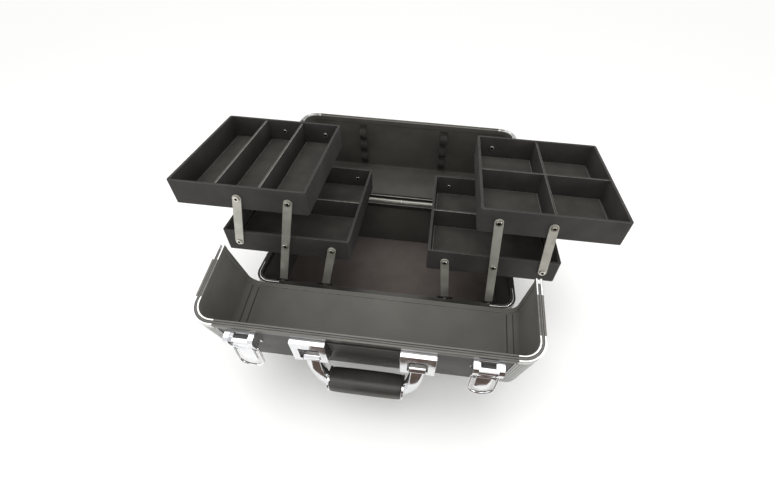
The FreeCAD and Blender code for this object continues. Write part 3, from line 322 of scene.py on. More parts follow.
def easeCorners(bm, width, segments=2):
    # eased faces are marked here; the finishes colour them pale, as wear with painted highlight
    wear = bm.loops.layers.float.new("edgeWear")
    sharpTurn = math.radians(easing["sharpTurn"])
    corners = []
    for edge in bm.edges:
        if len(edge.link_faces) == 2 and edge.is_convex and edge.calc_face_angle(0) > sharpTurn:
            corners.append(edge)
    made = bmesh.ops.bevel(
        bm, geom=corners, offset=width * mm, offset_type="OFFSET", segments=segments, profile=0.5,
        affect="EDGES", clamp_overlap=True, loop_slide=True,
    )
    for face in made["faces"]:
        for corner in face.loops:
            corner[wear] = 1.0


def easedNode(nodeName, width, finish, segments=2):
    bm = facedNode(nodeName)
    easeCorners(bm, width, segments)
    standIn(nodeName, meshFrom(bm, nodeName + "_eased"), finish)


def loosePartBoxes(nodeName):  # lowest and highest corner of each separate solid
    bm = mergedNode(nodeName)
    left, found = set(bm.verts), []
    while left:
        front = [left.pop()]
        part = []
        while front:
            vert = front.pop()
            part.append(vert.co / mm)
            near = {edge.other_vert(vert) for edge in vert.link_edges} & left
            left -= near
            front.extend(near)
        found.append((
            Vector([min(p[i] for p in part) for i in range(3)]),
            Vector([max(p[i] for p in part) for i in range(3)]),
        ))
    bm.free()
    return sorted(found, key=lambda box: tuple(box[0]))


def roundSection(wide, tall, power=2.0, count=16):
    points = []
    for step in range(count):
        turn = 2 * math.pi * step / count
        c, s = math.cos(turn), math.sin(turn)
        points.append((
            wide * math.copysign(abs(c) ** (2 / power), c),
            tall * math.copysign(abs(s) ** (2 / power), s),
        ))
    return points


def skin(bm, rings):  # closed rings of verts become a tube with capped ends
    for low, high in zip(rings, rings[1:]):
        for j in range(len(low)):
            bm.faces.new((low[j], low[j - 1], high[j - 1], high[j]))
    bm.faces.new(rings[0])
    bm.faces.new(list(reversed(rings[-1])))


# A section carried along a flat path: flat is the normal of the plane that the path lies in
def sweep(bm, path, sections, flat):
    rings = []
    for i, spot in enumerate(path):
        ahead = path[min(i + 1, len(path) - 1)] - path[max(i - 1, 0)]
        across = flat.cross(ahead).normalized()
        section = sections[i] if isinstance(sections[0], list) else sections
        rings.append([bm.verts.new((spot + across * a + flat * b) * mm) for a, b in section])
    skin(bm, rings)


def arc(centre, radius, first, last, count, right, up):
    points = []
    for step in range(count + 1):
        turn = math.radians(first + (last - first) * step / count)
        points.append(centre + right * (radius * math.cos(turn)) + up * (radius * math.sin(turn)))
    return points


# The lids as the frame opens them: the front hinge line in mm and the degrees from closed. The rear
# hinge line mirrors the front one.
lidHinge = {"y": -105.2, "z": 92.0, "front": 104.0, "rear": 87.0}


def lidPoint(side, x, y, z):  # a point of the closed front half, carried to the open lid
    turn = math.radians(lidHinge[side])
    u, w = y - lidHinge["y"], z - lidHinge["z"]
    openY = u * math.cos(turn) - w * math.sin(turn) + lidHinge["y"]
    openZ = u * math.sin(turn) + w * math.cos(turn) + lidHinge["z"]
    return Vector((x, openY if side == "front" else -openY, openZ))


def lidWay(side, y, z):  # a direction of the closed front half, turned with the lid
    return lidPoint(side, 0, y, z) - lidPoint(side, 0, 0, 0)


def lidHeight(side, spot):  # height of an open-lid point above the underside with the lid closed
    turn = math.radians(lidHinge[side])
    y = spot.y if side == "front" else -spot.y
    return lidHinge["z"] + (spot.z - lidHinge["z"]) * math.cos(turn) - (y - lidHinge["y"]) * math.sin(turn)


def addBlock(bm, low, high, lid=None):
    for vert in bmesh.ops.create_cube(bm, size=1.0)["verts"]:
        spot = [low[i] + (high[i] - low[i]) * (vert.co[i] + 0.5) for i in range(3)]
        vert.co = (lidPoint(lid, *spot) if lid else Vector(spot)) * mm


# Geometry Nodes trees
def startTree(name, sizes):
    tree = bpy.data.node_groups.new(name, "GeometryNodeTree")
    tree.interface.new_socket("Geometry", in_out="INPUT", socket_type="NodeSocketGeometry")
    for label, value in sizes.items():
        size = tree.interface.new_socket(label, in_out="INPUT", socket_type="NodeSocketFloat")
        size.default_value = value
    tree.interface.new_socket("Finish", in_out="INPUT", socket_type="NodeSocketMaterial")
    tree.interface.new_socket("Geometry", in_out="OUTPUT", socket_type="NodeSocketGeometry")
    return tree, tree.nodes.new("NodeGroupInput")


def endTree(tree, start, spread):
    real = addNode(tree, "GeometryNodeRealizeInstances", {"Geometry": spread})
    coat = {"Geometry": real, "Material": start.outputs["Finish"]}
    addNode(tree, "NodeGroupOutput", {"Geometry": addNode(tree, "GeometryNodeSetMaterial", coat)})


def runTree(name, tree, points, sizes, smoothTo=easing["smoothTo"]):
    holder = putInScene(name, points)
    build = holder.modifiers.new("build", "NODES")
    build.node_group = tree
    for socket in tree.interface.items_tree:
        if socket.in_out == "INPUT" and socket.name in sizes:
            build[socket.identifier] = sizes[socket.name]
    seen = holder.evaluated_get(bpy.context.evaluated_depsgraph_get())
    mesh = bpy.data.meshes.new_from_object(seen)
    bpy.data.objects.remove(holder)
    return shadeSmooth(mesh, smoothTo)


# Rolled rivet: a round bead on a flattened dome, the dome painted dark as the shade in the bore, set on each
# point along its axis
rivetTree, rivetStart = startTree("rivetTree", {
    "Bead Radius": 2.2 * mm, "Bead Thick": 0.6 * mm, "Dome Radius": 1.9 * mm, "Flatten": 0.5, "Bore Shade": 1.0,
})
beadPath = addNode(rivetTree, "GeometryNodeCurvePrimitiveCircle",
                   {"Radius": rivetStart.outputs["Bead Radius"], "Resolution": 20})
beadWire = addNode(rivetTree, "GeometryNodeCurvePrimitiveCircle",
                   {"Radius": rivetStart.outputs["Bead Thick"], "Resolution": 8})
bead = addNode(rivetTree, "GeometryNodeCurveToMesh", {"Curve": beadPath, "Profile Curve": beadWire})
dome = addNode(rivetTree, "GeometryNodeMeshUVSphere",
               {"Segments": 16, "Rings": 8, "Radius": rivetStart.outputs["Dome Radius"]})
# the whole dome is marked for painted shade, dark as the rivet's bore
domeShaded = addNode(rivetTree, "GeometryNodeStoreNamedAttribute",
                     {"Geometry": dome, "Name": "recess", "Value": rivetStart.outputs["Bore Shade"]})
rivetWhole = addNode(rivetTree, "GeometryNodeJoinGeometry", {"Geometry": [bead, domeShaded]})
rivetSquash = addNode(rivetTree, "ShaderNodeCombineXYZ",
                      {"X": 1.0, "Y": 1.0, "Z": rivetStart.outputs["Flatten"]})
rivetFlat = addNode(rivetTree, "GeometryNodeTransform", {"Geometry": rivetWhole, "Scale": rivetSquash})
rivetAxis = addNode(rivetTree, "GeometryNodeInputNamedAttribute", {"Name": "axis"},
                    data_type="FLOAT_VECTOR")
rivetTurn = addNode(rivetTree, "FunctionNodeAlignRotationToVector", {"Vector": rivetAxis}, axis="Z")
rivetSpread = addNode(rivetTree, "GeometryNodeInstanceOnPoints", {
    "Points": rivetStart.outputs["Geometry"], "Instance": rivetFlat, "Rotation": rivetTurn,
})
endTree(rivetTree, rivetStart, rivetSpread)


def rivetPiece(name, spots, sizes, body, finish):
    points = bpy.data.meshes.new(name)
    points.from_pydata([tuple(spot * mm) for spot, axis in spots], [], [])
    axes = points.attributes.new("axis", "FLOAT_VECTOR", "POINT")
    axes.data.foreach_set("vector", [c for spot, axis in spots for c in axis])
    addPiece(name, runTree(name, rivetTree, points, dict(sizes, Finish=finish)), body)


# Stitches: short round-ended threads laid along an edge path at a steady pitch
stitchSizes = {"Pitch": 2.2 * mm, "Length": 1.6 * mm, "Thread": 0.35 * mm}
stitchTree, stitchStart = startTree("stitchTree", stitchSizes)
stitchPath = addNode(stitchTree, "GeometryNodeMeshToCurve", {"Mesh": stitchStart.outputs["Geometry"]})
stitchSpots = addNode(stitchTree, "GeometryNodeCurveToPoints",
                      {"Curve": stitchPath, "Length": stitchStart.outputs["Pitch"]}, mode="LENGTH")
stitchForm = addNode(stitchTree, "GeometryNodeMeshUVSphere",
                     {"Segments": 8, "Rings": 6, "Radius": stitchStart.outputs["Thread"]})
stitchRatio = addNode(stitchTree, "ShaderNodeMath", {
    0: stitchStart.outputs["Length"], 1: stitchStart.outputs["Thread"],
}, operation="DIVIDE")
stitchHalf = addNode(stitchTree, "ShaderNodeMath", {0: stitchRatio, 1: 2.0}, operation="DIVIDE")
stitchLong = addNode(stitchTree, "ShaderNodeCombineXYZ", {"X": 1.0, "Y": 1.0, "Z": stitchHalf})
stitchThread = addNode(stitchTree, "GeometryNodeTransform", {"Geometry": stitchForm, "Scale": stitchLong})
stitchTurn = addNode(stitchTree, "FunctionNodeAlignRotationToVector",
                     {"Vector": stitchSpots.outputs["Tangent"]}, axis="Z")
stitchSpread = addNode(stitchTree, "GeometryNodeInstanceOnPoints", {
    "Points": stitchSpots, "Instance": stitchThread, "Rotation": stitchTurn,
})
endTree(stitchTree, stitchStart, stitchSpread)


def stitchPiece(name, paths, body):
    verts, edges = [], []
    for path in paths:
        edges += [(len(verts) + i, len(verts) + i + 1) for i in range(len(path) - 1)]
        verts += [tuple(spot * mm) for spot in path]
    points = bpy.data.meshes.new(name)
    points.from_pydata(verts, edges, [])
    sizes = dict(stitchSizes, Finish=threadFinish)
    addPiece(name, runTree(name, stitchTree, points, sizes), body)


# Case shells, frames and linings keep the CAD form with eased corners
shellEase = {
    "base_bottom_panel": (0.8, panelFinish), "base_walls": (0.6, panelFinish),
    "front_lid_shell": (0.6, panelFinish), "rear_lid_shell": (0.6, panelFinish),
    # the base and rear-lid linings take the darker lining tones, painted shade
    "base_lining": (0.4, shadedLiningFinish), "front_lid_lining": (0.4, liningFinish),
    "rear_lid_lining": (0.4, shadedLiningFinish), "base_floor_pad": (0.9, feltFinish),
    "base_rim_frame": (0.7, blackFrameFinish), "base_bottom_trim": (0.3, brightFinish),
    "front_lid_seat_frame": (0.7, liningFinish), "rear_lid_seat_frame": (0.7, blackFrameFinish),
    "arm_brackets": (0.5, enamelAndShadeFinish),
    "base_hinge_leaves": (0.3, stripFinish), "front_lid_hinge_leaves": (0.3, stripFinish),
    "rear_lid_hinge_leaves": (0.3, stripFinish), "hinge_pins": (0.3, stripFinish),
    "base_hinge_rivets": (0.3, rivetFinish), "front_lid_hinge_rivets": (0.3, rivetFinish),
    "rear_lid_hinge_rivets": (0.3, rivetFinish), "handle_brackets": (0.9, chromeFinish),
    "handle_pins": (0.3, chromeFinish), "handle_base_strip": (0.5, panelFinish),
    "latch_plates": (0.8, chromeFinish), "latch_pins": (0.3, chromeFinish),
    "latch_strikes": (0.5, chromeFinish),
}
for nodeName, (width, finish) in shellEase.items():
    easedNode(nodeName, width, finish)
print("case shells, frames and fittings eased:", len(shellEase))

# Rolled ribs: the outer faces sink between ridges that are counted off by the attribute ribAt, and the
# valleys get painted shade
ribTree, ribStart = startTree("ribTree", {"Pitch": 3.2 * mm, "Depth": 0.5 * mm})
ribAt = addNode(ribTree, "GeometryNodeInputNamedAttribute", {"Name": "ribAt"}, data_type="FLOAT")
ribOut = addNode(ribTree, "GeometryNodeInputNamedAttribute", {"Name": "ribOut"}, data_type="FLOAT")
ribCount = addNode(ribTree, "ShaderNodeMath", {0: ribAt, 1: ribStart.outputs["Pitch"]}, operation="DIVIDE")
ribTurn = addNode(ribTree, "ShaderNodeMath", {0: ribCount, 1: 2 * math.pi}, operation="MULTIPLY")
ribWave = addNode(ribTree, "ShaderNodeMath", {0: ribTurn}, operation="COSINE")
ribShare = addNode(ribTree, "ShaderNodeMath", {0: ribWave, 1: -0.5, 2: 0.5}, operation="MULTIPLY_ADD")
ribValley = addNode(ribTree, "ShaderNodeMath", {0: ribShare, 1: ribOut}, operation="MULTIPLY")
ribDeep = addNode(ribTree, "ShaderNodeMath", {0: ribValley, 1: ribStart.outputs["Depth"]},
                  operation="MULTIPLY")
ribIn = addNode(ribTree, "ShaderNodeMath", {0: ribDeep, 1: -1.0}, operation="MULTIPLY")
# the valley share is stored for the finish, which darkens the valleys as painted shade
ribShadePainted = addNode(ribTree, "GeometryNodeStoreNamedAttribute",
                    {"Geometry": ribStart.outputs["Geometry"], "Name": "recess", "Value": ribValley})
ribNormal = addNode(ribTree, "GeometryNodeInputNormal")
ribMove = addNode(ribTree, "ShaderNodeVectorMath", {0: ribNormal, "Scale": ribIn}, operation="SCALE")
ribSunk = addNode(ribTree, "GeometryNodeSetPosition", {"Geometry": ribShadePainted, "Offset": ribMove})
endTree(ribTree, ribStart, ribSunk)

# Corner caps: ribs run round the base corners and along the lid ends
cap = {"ease": 0.4, "pitch": 3.2, "depth": 0.5, "cuts": 4, "round": 24.9, "heart": 130.0, "smoothTo": 75}


def ribbedCaps(nodeName, side=None):
    bm = facedNode(nodeName)
    bmesh.ops.recalc_face_normals(bm, faces=bm.faces)
    easeCorners(bm, cap["ease"])
    spots = [vert.co / mm for vert in bm.verts]
    radius = cap["round"]
    bend = radius * math.pi / 2
    inner = max(abs(spot.x) for spot in spots) - radius
    shoulder = max(lidHeight(side, spot) if side else spot.z for spot in spots) - radius

    def girth(spot):  # way along the ribbed profile: up the end, round the bend, in along the top
        if not side:
            return spot.z
        out, up = abs(spot.x) - inner, lidHeight(side, spot) - shoulder
        if up <= 0:
            return up
        return radius * math.atan2(up, out) if out > 0 else bend - out

    def planesAt(at):  # what crosses the profile there: one plane, or one for each end of a lid
        if not side:
            return [(zWay * at, zWay)]
        turn = min(max(at / radius, 0), math.pi / 2)
        x, z = inner - max(at - bend, 0), shoulder + min(at, 0)
        planes = []
        for sign in (-1, 1):
            spot = lidPoint(side, sign * x, 0, z)
            ahead = lidPoint(side, sign * (x - math.sin(turn)), 0, z + math.cos(turn))
            planes.append((spot, ahead - spot))
        return planes

    step = cap["pitch"] / cap["cuts"]
    lengths = [girth(spot) for spot in spots]
    for number in range(math.ceil(min(lengths) / step), math.floor(max(lengths) / step) + 1):
        for spot, way in planesAt(number * step):
            cutAcross(bm, spot, way)
    bm.normal_update()
    along, outer = bm.verts.layers.float.new("ribAt"), bm.verts.layers.float.new("ribOut")
    heart = lidPoint(side, 0, 0, cap["heart"]) if side else Vector()
    for vert in bm.verts:
        spot = vert.co / mm
        away = spot - heart if side else Vector((spot.x, spot.y, 0))
        vert[along] = girth(spot) * mm
        vert[outer] = float(vert.normal.dot(away) > 0)
    sizes = {"Pitch": cap["pitch"] * mm, "Depth": cap["depth"] * mm, "Finish": capFinish}
    mesh = meshFrom(bm, nodeName + "_cut")
    standIn(nodeName, runTree(nodeName, ribTree, mesh, sizes, cap["smoothTo"]))


ribbedCaps("base_corner_caps")
for side in ("front", "rear"):
    ribbedCaps(side + "_lid_corner_caps", side)
print("corner caps made")

# Small fittings on the front lid, left and right alike: black blocks against the latch bridges that stand in
# as painted shade in the latch notches, and plates in the bracket windows. They run from the lip to the
# hinge and rise from the panel.
latchNotchShade = {"across": 127.0, "half": 7.6, "run": (-13.55, -12.7), "rise": (186.5, 191.6), "ease": 0.2}
windowPlate = {"across": 57.0, "half": 10.7, "run": (-40.9, -20.5), "rise": (185.7, 186.3), "ease": 0.2}


def frontFittings(name, form, finish):
    bm = bmesh.new()
    for sign in (-1, 1):
        middle = sign * form["across"]
        low = (middle - form["half"], form["run"][0], form["rise"][0])
        high = (middle + form["half"], form["run"][1], form["rise"][1])
        addBlock(bm, low, high, "front")
    easeCorners(bm, form["ease"])
    addPiece(name, meshFrom(bm, name), "front_lid", finish)


# black blocks painted as the shade in each latch notch
frontFittings("latch_notch_shades", latchNotchShade, enamelAndShadeFinish)
frontFittings("bracket_window_plates", windowPlate, stripFinish)
print("notch shades and window plates made")

# Lip frames: gunmetal runs with bright corner and end pieces, and a rubber bead in the groove
lip = {
    "half": 182.8, "top": 185.3, "round": 24.8, "joint": 4.0, "endPiece": 112.0, "ease": 0.5,
    "flank": 6.1, "flankLean": 0.7, "grooveIn": 3.7, "face": -0.4, "bead": 1.2, "foot": 98.6,
    "bendSteps": 10, "beadSides": 10,
}


def lipFrame(side):
    nodeName = side + "_lid_lip_frame"
    bm = facedNode(nodeName)
    reach = lip["half"] - lip["round"] - lip["joint"]
    cornerFoot = lip["top"] - lip["round"] - lip["joint"]
    up = lidWay(side, 0, 1)
    foot = lidPoint(side, 0, lidHinge["y"], 0)
    joints = [(xWay * x, xWay) for x in (-reach, reach)]
    joints += [(foot + up * z, up) for z in (lip["endPiece"], cornerFoot)]
    for spot, way in joints:  # where the corner and end pieces are let in
        cutAcross(bm, spot, way)
    easeCorners(bm, lip["ease"])
    mesh = meshFrom(bm, nodeName + "_eased")
    for finish in (gunmetalFinish, brightFinish, liningFinish if side == "front" else shadedLiningFinish):
        mesh.materials.append(finish)
    for face in mesh.polygons:
        wide, high = abs(face.center.x) / mm, (face.center / mm - foot).dot(up)
        past = (wide - lip["half"] + lip["round"], high - lip["top"] + lip["round"])
        inset = lip["round"] - (math.hypot(*past) if min(past) > 0 else max(past))
        inward = abs(face.normal.dot(up)) + abs(face.normal.x) > lip["flankLean"]
        run = wide < reach or lip["endPiece"] < high < cornerFoot
        face.material_index = 2 if inward and inset > lip["flank"] else 0 if run else 1
    standIn(nodeName, mesh)


def lipSeal(side):
    radius, deep = lip["round"] - lip["grooveIn"], lip["face"] - lip["bead"]
    x, z = lip["half"] - lip["round"], lip["top"] - lip["round"]
    plan = [Vector((-lip["half"] + lip["grooveIn"], deep, lip["foot"]))]
    plan += arc(Vector((-x, deep, z)), radius, 180, 90, lip["bendSteps"], xWay, zWay)
    plan += arc(Vector((x, deep, z)), radius, 90, 0, lip["bendSteps"], xWay, zWay)
    plan.append(Vector((lip["half"] - lip["grooveIn"], deep, lip["foot"])))
    section = roundSection(lip["bead"], lip["bead"], count=lip["beadSides"])
    bm = bmesh.new()
    sweep(bm, [lidPoint(side, *spot) for spot in plan], section, lidWay(side, 1, 0))
    name = side + "_lid_seal"
    addPiece(name, meshFrom(bm, name), side + "_lid", rubberFinish)


for side in ("front", "rear"):
    lipFrame(side)
    lipSeal(side)
print("lip frames and seals made")

# Bright beads let into the black rim of the base, round each corner
rimBead = {"round": 22.8, "inset": 4.2, "tail": 14.0, "half": 1.2, "high": 0.4, "bendSteps": 12, "sides": 12}


def rimBeads():
    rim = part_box("base_rim_frame")[1] / mm
    radius, tail = rimBead["round"] - rimBead["inset"], rimBead["tail"]
    section = roundSection(rimBead["half"], rimBead["high"], count=rimBead["sides"])
    bm = bmesh.new()
    for signX in (-1, 1):
        for signY in (-1, 1):
            right, ahead = xWay * signX, yWay * signY
            centre = right * (rim.x - rimBead["round"]) + ahead * (rim.y - rimBead["round"])
            centre.z = rim.z
            path = [centre + ahead * radius - right * tail]
            path += arc(centre, radius, 90, 0, rimBead["bendSteps"], right, ahead)
            path.append(centre + right * radius - ahead * tail)
            sweep(bm, path, section, zWay)
    addPiece("base_rim_beads", meshFrom(bm, "rimBeads"), "base", brightFinish)


rimBeads()
print("rim beads made")

# Folded creases in the lid linings: two at each bend between the long wall and a cheek
crease = {
    "bendX": 160.0, "bendY": -79.0, "radius": 17.2, "turns": (18, 46), "wide": 0.8, "high": 0.35,
    "from": 100.5, "to": 176.0, "sides": 8,
}


def lidCreases(side):
    section = roundSection(crease["high"], crease["wide"], count=crease["sides"])
    bm = bmesh.new()
    for sign in (-1, 1):
        for turn in crease["turns"]:
            c, s = math.cos(math.radians(turn)), math.sin(math.radians(turn))
            x, y = sign * (crease["bendX"] + crease["radius"] * s), crease["bendY"] - crease["radius"] * c
            path = [lidPoint(side, x, y, z) for z in (crease["from"], crease["to"])]
            along = lidPoint(side, x + sign * c, y + s, crease["from"]) - path[0]
            sweep(bm, path, section, along)
    name = side + "_lid_creases"
    # the welts carry the dark fold line, painted shade
    addPiece(name, meshFrom(bm, name), side + "_lid", foldShadeFinish)


for side in ("front", "rear"):
    lidCreases(side)
print("lid creases made")

# Trays, boards and the cards in their bays
tray = {
    "ease": 0.9, "easeSteps": 3, "boardEase": 0.7, "wall": 3.0, "floor": 2.5, "board": 2.6,
    "sameRow": 1.0, "cardGap": 1.6, "cardThick": 1.6, "cardEase": 1.0,
}


def trayCards(side, level, dividerNode):
    trayNode = "%s_%s_tray" % (side, level)
    low, high = [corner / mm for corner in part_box(trayNode)]
    wall = tray["wall"]
    xCuts, yCuts = [low.x + wall, high.x - wall], [low.y + wall, high.y - wall]
    for partLow, partHigh in loosePartBoxes(dividerNode):
        middle = (partLow + partHigh) / 2
        if partHigh.y - partLow.y > partHigh.x - partLow.x:
            xCuts.append(middle.x)
        elif all(abs(middle.y - y) > tray["sameRow"] for y in yCuts):
            yCuts.append(middle.y)
    bm = bmesh.new()
    floor = low.z + tray["floor"]
    gap = tray["cardGap"] + tray["board"] / 2
    for x0, x1 in zip(sorted(xCuts), sorted(xCuts)[1:]):
        for y0, y1 in zip(sorted(yCuts), sorted(yCuts)[1:]):
            addBlock(bm, (x0 + gap, y0 + gap, floor), (x1 - gap, y1 - gap, floor + tray["cardThick"]))
    easeCorners(bm, tray["cardEase"])
    name = "%s_%s_cards" % (side, level)
    # the cards take the floor finish, a step lighter as painted light
    addPiece(name, meshFrom(bm, name), trayNode, trayFloorLitFinish)


for side in ("left", "right"):
    for level, dividerEnd in (("lower", "divider"), ("upper", "dividers")):
        dividerNode = "%s_%s_%s" % (side, level, dividerEnd)
        easedNode("%s_%s_tray" % (side, level), tray["ease"], trayFinish, tray["easeSteps"])
        easedNode(dividerNode, tray["boardEase"], trayFinish)
        trayCards(side, level, dividerNode)
print("trays, boards and cards made")

# Arms and their rolled rivets
armEase = 0.3
rolled = {
    "Bead Radius": 2.3 * mm, "Bead Thick": 0.75 * mm, "Dome Radius": 1.9 * mm, "Flatten": 0.55, "Bore Shade": 1.0,
}
rivetNodes = ["base_arm_rivets"]
for side in ("left", "right"):
    rivetNodes += ["%s_%s_rivets" % (side, level) for level in ("lower", "upper")]
    for kind in ("long", "inner", "outer"):
        easedNode("%s_%s_arms" % (side, kind), armEase, stripFinish)
for nodeName in rivetNodes:
    nodes[nodeName].data.materials.clear()
    nodes[nodeName].data.materials.append(rivetFinish)
    spots = []
    for low, high in loosePartBoxes(nodeName):
        middle = (low + high) / 2
        for y, way in ((high.y, 1), (low.y, -1)):
            spots.append((Vector((middle.x, y, middle.z)), (0, way, 0)))
    rivetPiece(nodeName + "_rolls", spots, rolled, nodes[nodeName]["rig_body"], rivetFinish)
print("arms and rivets made")

# Carrying handle: horn-shaped cast arms, moulded grip, collars. Heights from the pin, grip below it.
# The edges of a horn leave the pin along pull and land on the grip from land. A collar goes by its
# way in from the end and its share of the grip's section.
handle = {
    "inner": 48.4, "outer": 65.6, "outerPull": (0.2, -30.0), "outerLand": (14.0, 6.0),
    "innerPull": (0.0, -16.0), "innerLand": (2.5, 9.0), "thick": 4.6, "swell": 1.4, "armSquare": 2.6,
    "armSides": 20, "barrel": 5.0, "barrelSides": 24, "steps": 24,
    "gripEnd": 44.0, "gripTop": -36.5, "gripFoot": -63.5, "gripThick": 13.0, "gripHalf": 42.44,
    "gripSquare": 3.0, "gripSides": 32, "gripTaper": 0.05, "gripEase": 0.05,
    "collar": ((2.6, 0.96), (2.08, 1.0), (0.4, 1.0), (0.0, 0.97)),
}
handlePin = jointAt["handle_swing"]


def hornEdge(start, pull, land, end):
    spots = (
        (start, 0), (start + pull[0], pull[1]),
        (handle["gripEnd"] + land[0], end + land[1]), (handle["gripEnd"], end),
    )
    return interpolate_bezier(*[Vector((x, 0, z)) for x, z in spots], handle["steps"] + 1)


def handleArms():
    outerEdge = hornEdge(handle["outer"], handle["outerPull"], handle["outerLand"], handle["gripFoot"])
    innerEdge = hornEdge(handle["inner"], handle["innerPull"], handle["innerLand"], handle["gripTop"])
    barrelSection = roundSection(handle["barrel"], handle["barrel"], count=handle["barrelSides"])
    bm = bmesh.new()
    for sign in (-1, 1):
        rings = []
        for i, (far, near) in enumerate(zip(outerEdge, innerEdge)):
            middle, half = (far + near) / 2, (far - near) / 2
            bulge = handle["thick"] + handle["swell"] * math.sin(math.pi * i / handle["steps"])
            ring = []
            for a, b in roundSection(1.0, bulge, handle["armSquare"], handle["armSides"]):
                spot = middle + half * a + yWay * b
                ring.append(bm.verts.new((handlePin + Vector((sign * spot.x, spot.y, spot.z))) * mm))
            rings.append(ring)
        skin(bm, rings)
        barrel = [handlePin + xWay * (sign * x) for x in (handle["inner"], handle["outer"])]
        sweep(bm, barrel, barrelSection, yWay)
    mesh = meshFrom(bm, "handleArms")
    addPiece("handle_arms_cast", mesh, "carry_handle", chromeFinish, ["handle_arms"])


def handleGrip():
    middle = handlePin + zWay * ((handle["gripTop"] + handle["gripFoot"]) / 2)
    tall = (handle["gripTop"] - handle["gripFoot"]) / 2

    def gripSection(share):
        size = (tall * share, handle["gripThick"] * share)
        return roundSection(*size, handle["gripSquare"], handle["gripSides"])

    steps = handle["steps"]
    path, sections = [], []
    for i in range(steps + 1):
        share = -1 + 2 * i / steps
        path.append(middle + xWay * (share * handle["gripHalf"]))
        ease = handle["gripEase"] if i in (0, steps) else 0
        sections.append(gripSection(1 - handle["gripTaper"] * abs(share) ** 3 - ease))
    bm = bmesh.new()
    sweep(bm, path, sections, yWay)
    mesh = meshFrom(bm, "handleGrip")
    addPiece("handle_grip_moulded", mesh, "carry_handle", gripFinish, ["handle_grip"])
    bm = bmesh.new()
    for sign in (-1, 1):
        path = [middle + xWay * (sign * (handle["gripEnd"] - x)) for x, share in handle["collar"]]
        sweep(bm, path, [gripSection(share) for x, share in handle["collar"]], yWay)
    mesh = meshFrom(bm, "handleCollars")
    addPiece("handle_collars", mesh, "carry_handle", chromeFinish)


handleArms()
handleGrip()
print("handle made")

# Latch levers and bails: rolled barrels, crowned tongue with a round tip, loop of round wire
latch = {
    "half": 9.0, "barrel": 3.4, "eye": 2.6, "endEase": 0.4, "endShare": 0.88, "barrelSides": 24,
    "long": 40.0, "thick": 1.3, "crown": 0.9, "tipHalf": 0.775, "square": 3.4, "steps": 32, "sides": 24,
}
bail = {
    "half": 13.8, "long": 39.6, "wire": 1.4, "wireSides": 12, "mouth": 1.0, "shoulder": 3.0,
    "shoulderSteps": 5, "bow": 13.6, "bowSteps": 8,
}


def latchLever(side):
    pin, half = jointAt[side + "_lever"], latch["half"]
    bm = bmesh.new()
    for spot, radius in ((pin, latch["barrel"]), (jointAt[side + "_bail"], latch["eye"])):
        path, sections = [], []
        for x, share in ((-half, latch["endShare"]), (latch["endEase"] - half, 1),
                         (half - latch["endEase"], 1), (half, latch["endShare"])):
            path.append(spot + xWay * x)
            sections.append(roundSection(radius * share, radius * share, count=latch["barrelSides"]))
        sweep(bm, path, sections, yWay)
    rings = []
    tipStart = latch["long"] - half
    for i in range(latch["steps"] + 1):
        z = latch["long"] * i / latch["steps"]
        past = max(z - tipStart, 0)
        wide = max(math.sqrt(max(half ** 2 - past ** 2, 0)), latch["tipHalf"])
        ring = []
        for a, b in roundSection(wide, latch["thick"], latch["square"], latch["sides"]):
            lift = -latch["crown"] * (1 - (a / half) ** 2) * math.sin(math.pi * z / latch["long"])
            ring.append(bm.verts.new((pin + Vector((a, b + lift, -z))) * mm))
        rings.append(ring)
    skin(bm, rings)
    name = side + "_latch_lever"
    addPiece(name + "_rolled", meshFrom(bm, name), side + "_lever", chromeFinish, [name])


def latchBail(side):
    eye, half, bow, shoulder = jointAt[side + "_bail"], bail["half"], bail["bow"], bail["shoulder"]
    corners = (  # across, down, radius, first and last angle, steps
        (-half + shoulder, -shoulder, shoulder, 90, 180, bail["shoulderSteps"]),
        (-half + bow, -bail["long"] + bow, bow, 180, 270, bail["bowSteps"]),
        (half - bow, -bail["long"] + bow, bow, 270, 360, bail["bowSteps"]),
        (half - shoulder, -shoulder, shoulder, 0, 90, bail["shoulderSteps"]),
    )
    path = [eye - xWay * bail["mouth"]]
    for x, z, radius, first, last, steps in corners:
        path += arc(eye + Vector((x, 0, z)), radius, first, last, steps, xWay, zWay)
    path.append(eye + xWay * bail["mouth"])
    bm = bmesh.new()
    sweep(bm, path, roundSection(bail["wire"], bail["wire"], count=bail["wireSides"]), yWay)
    name = side + "_latch_bail"
    addPiece(name + "_wire", meshFrom(bm, name), side + "_bail", chromeFinish, [name])


for side in ("left", "right"):
    latchLever(side)
    latchBail(side)
print("latches made")

# Brush straps in the rear lid: three loops of elastic each, sewn down at every foot
strap = {
    "left": -80.0, "right": 63.0, "half": 6.0, "thick": 0.7, "square": 5.0, "sides": 16, "smoothTo": 60,
    "panelZ": 179.7, "first": -12.0, "tab": 4.0, "endGap": 0.4, "loops": 3, "pitch": 24.0, "high": 7.6,
    "foot": 0.1, "fullness": 0.55, "steps": 12, "stitchIn": 1.0,
}


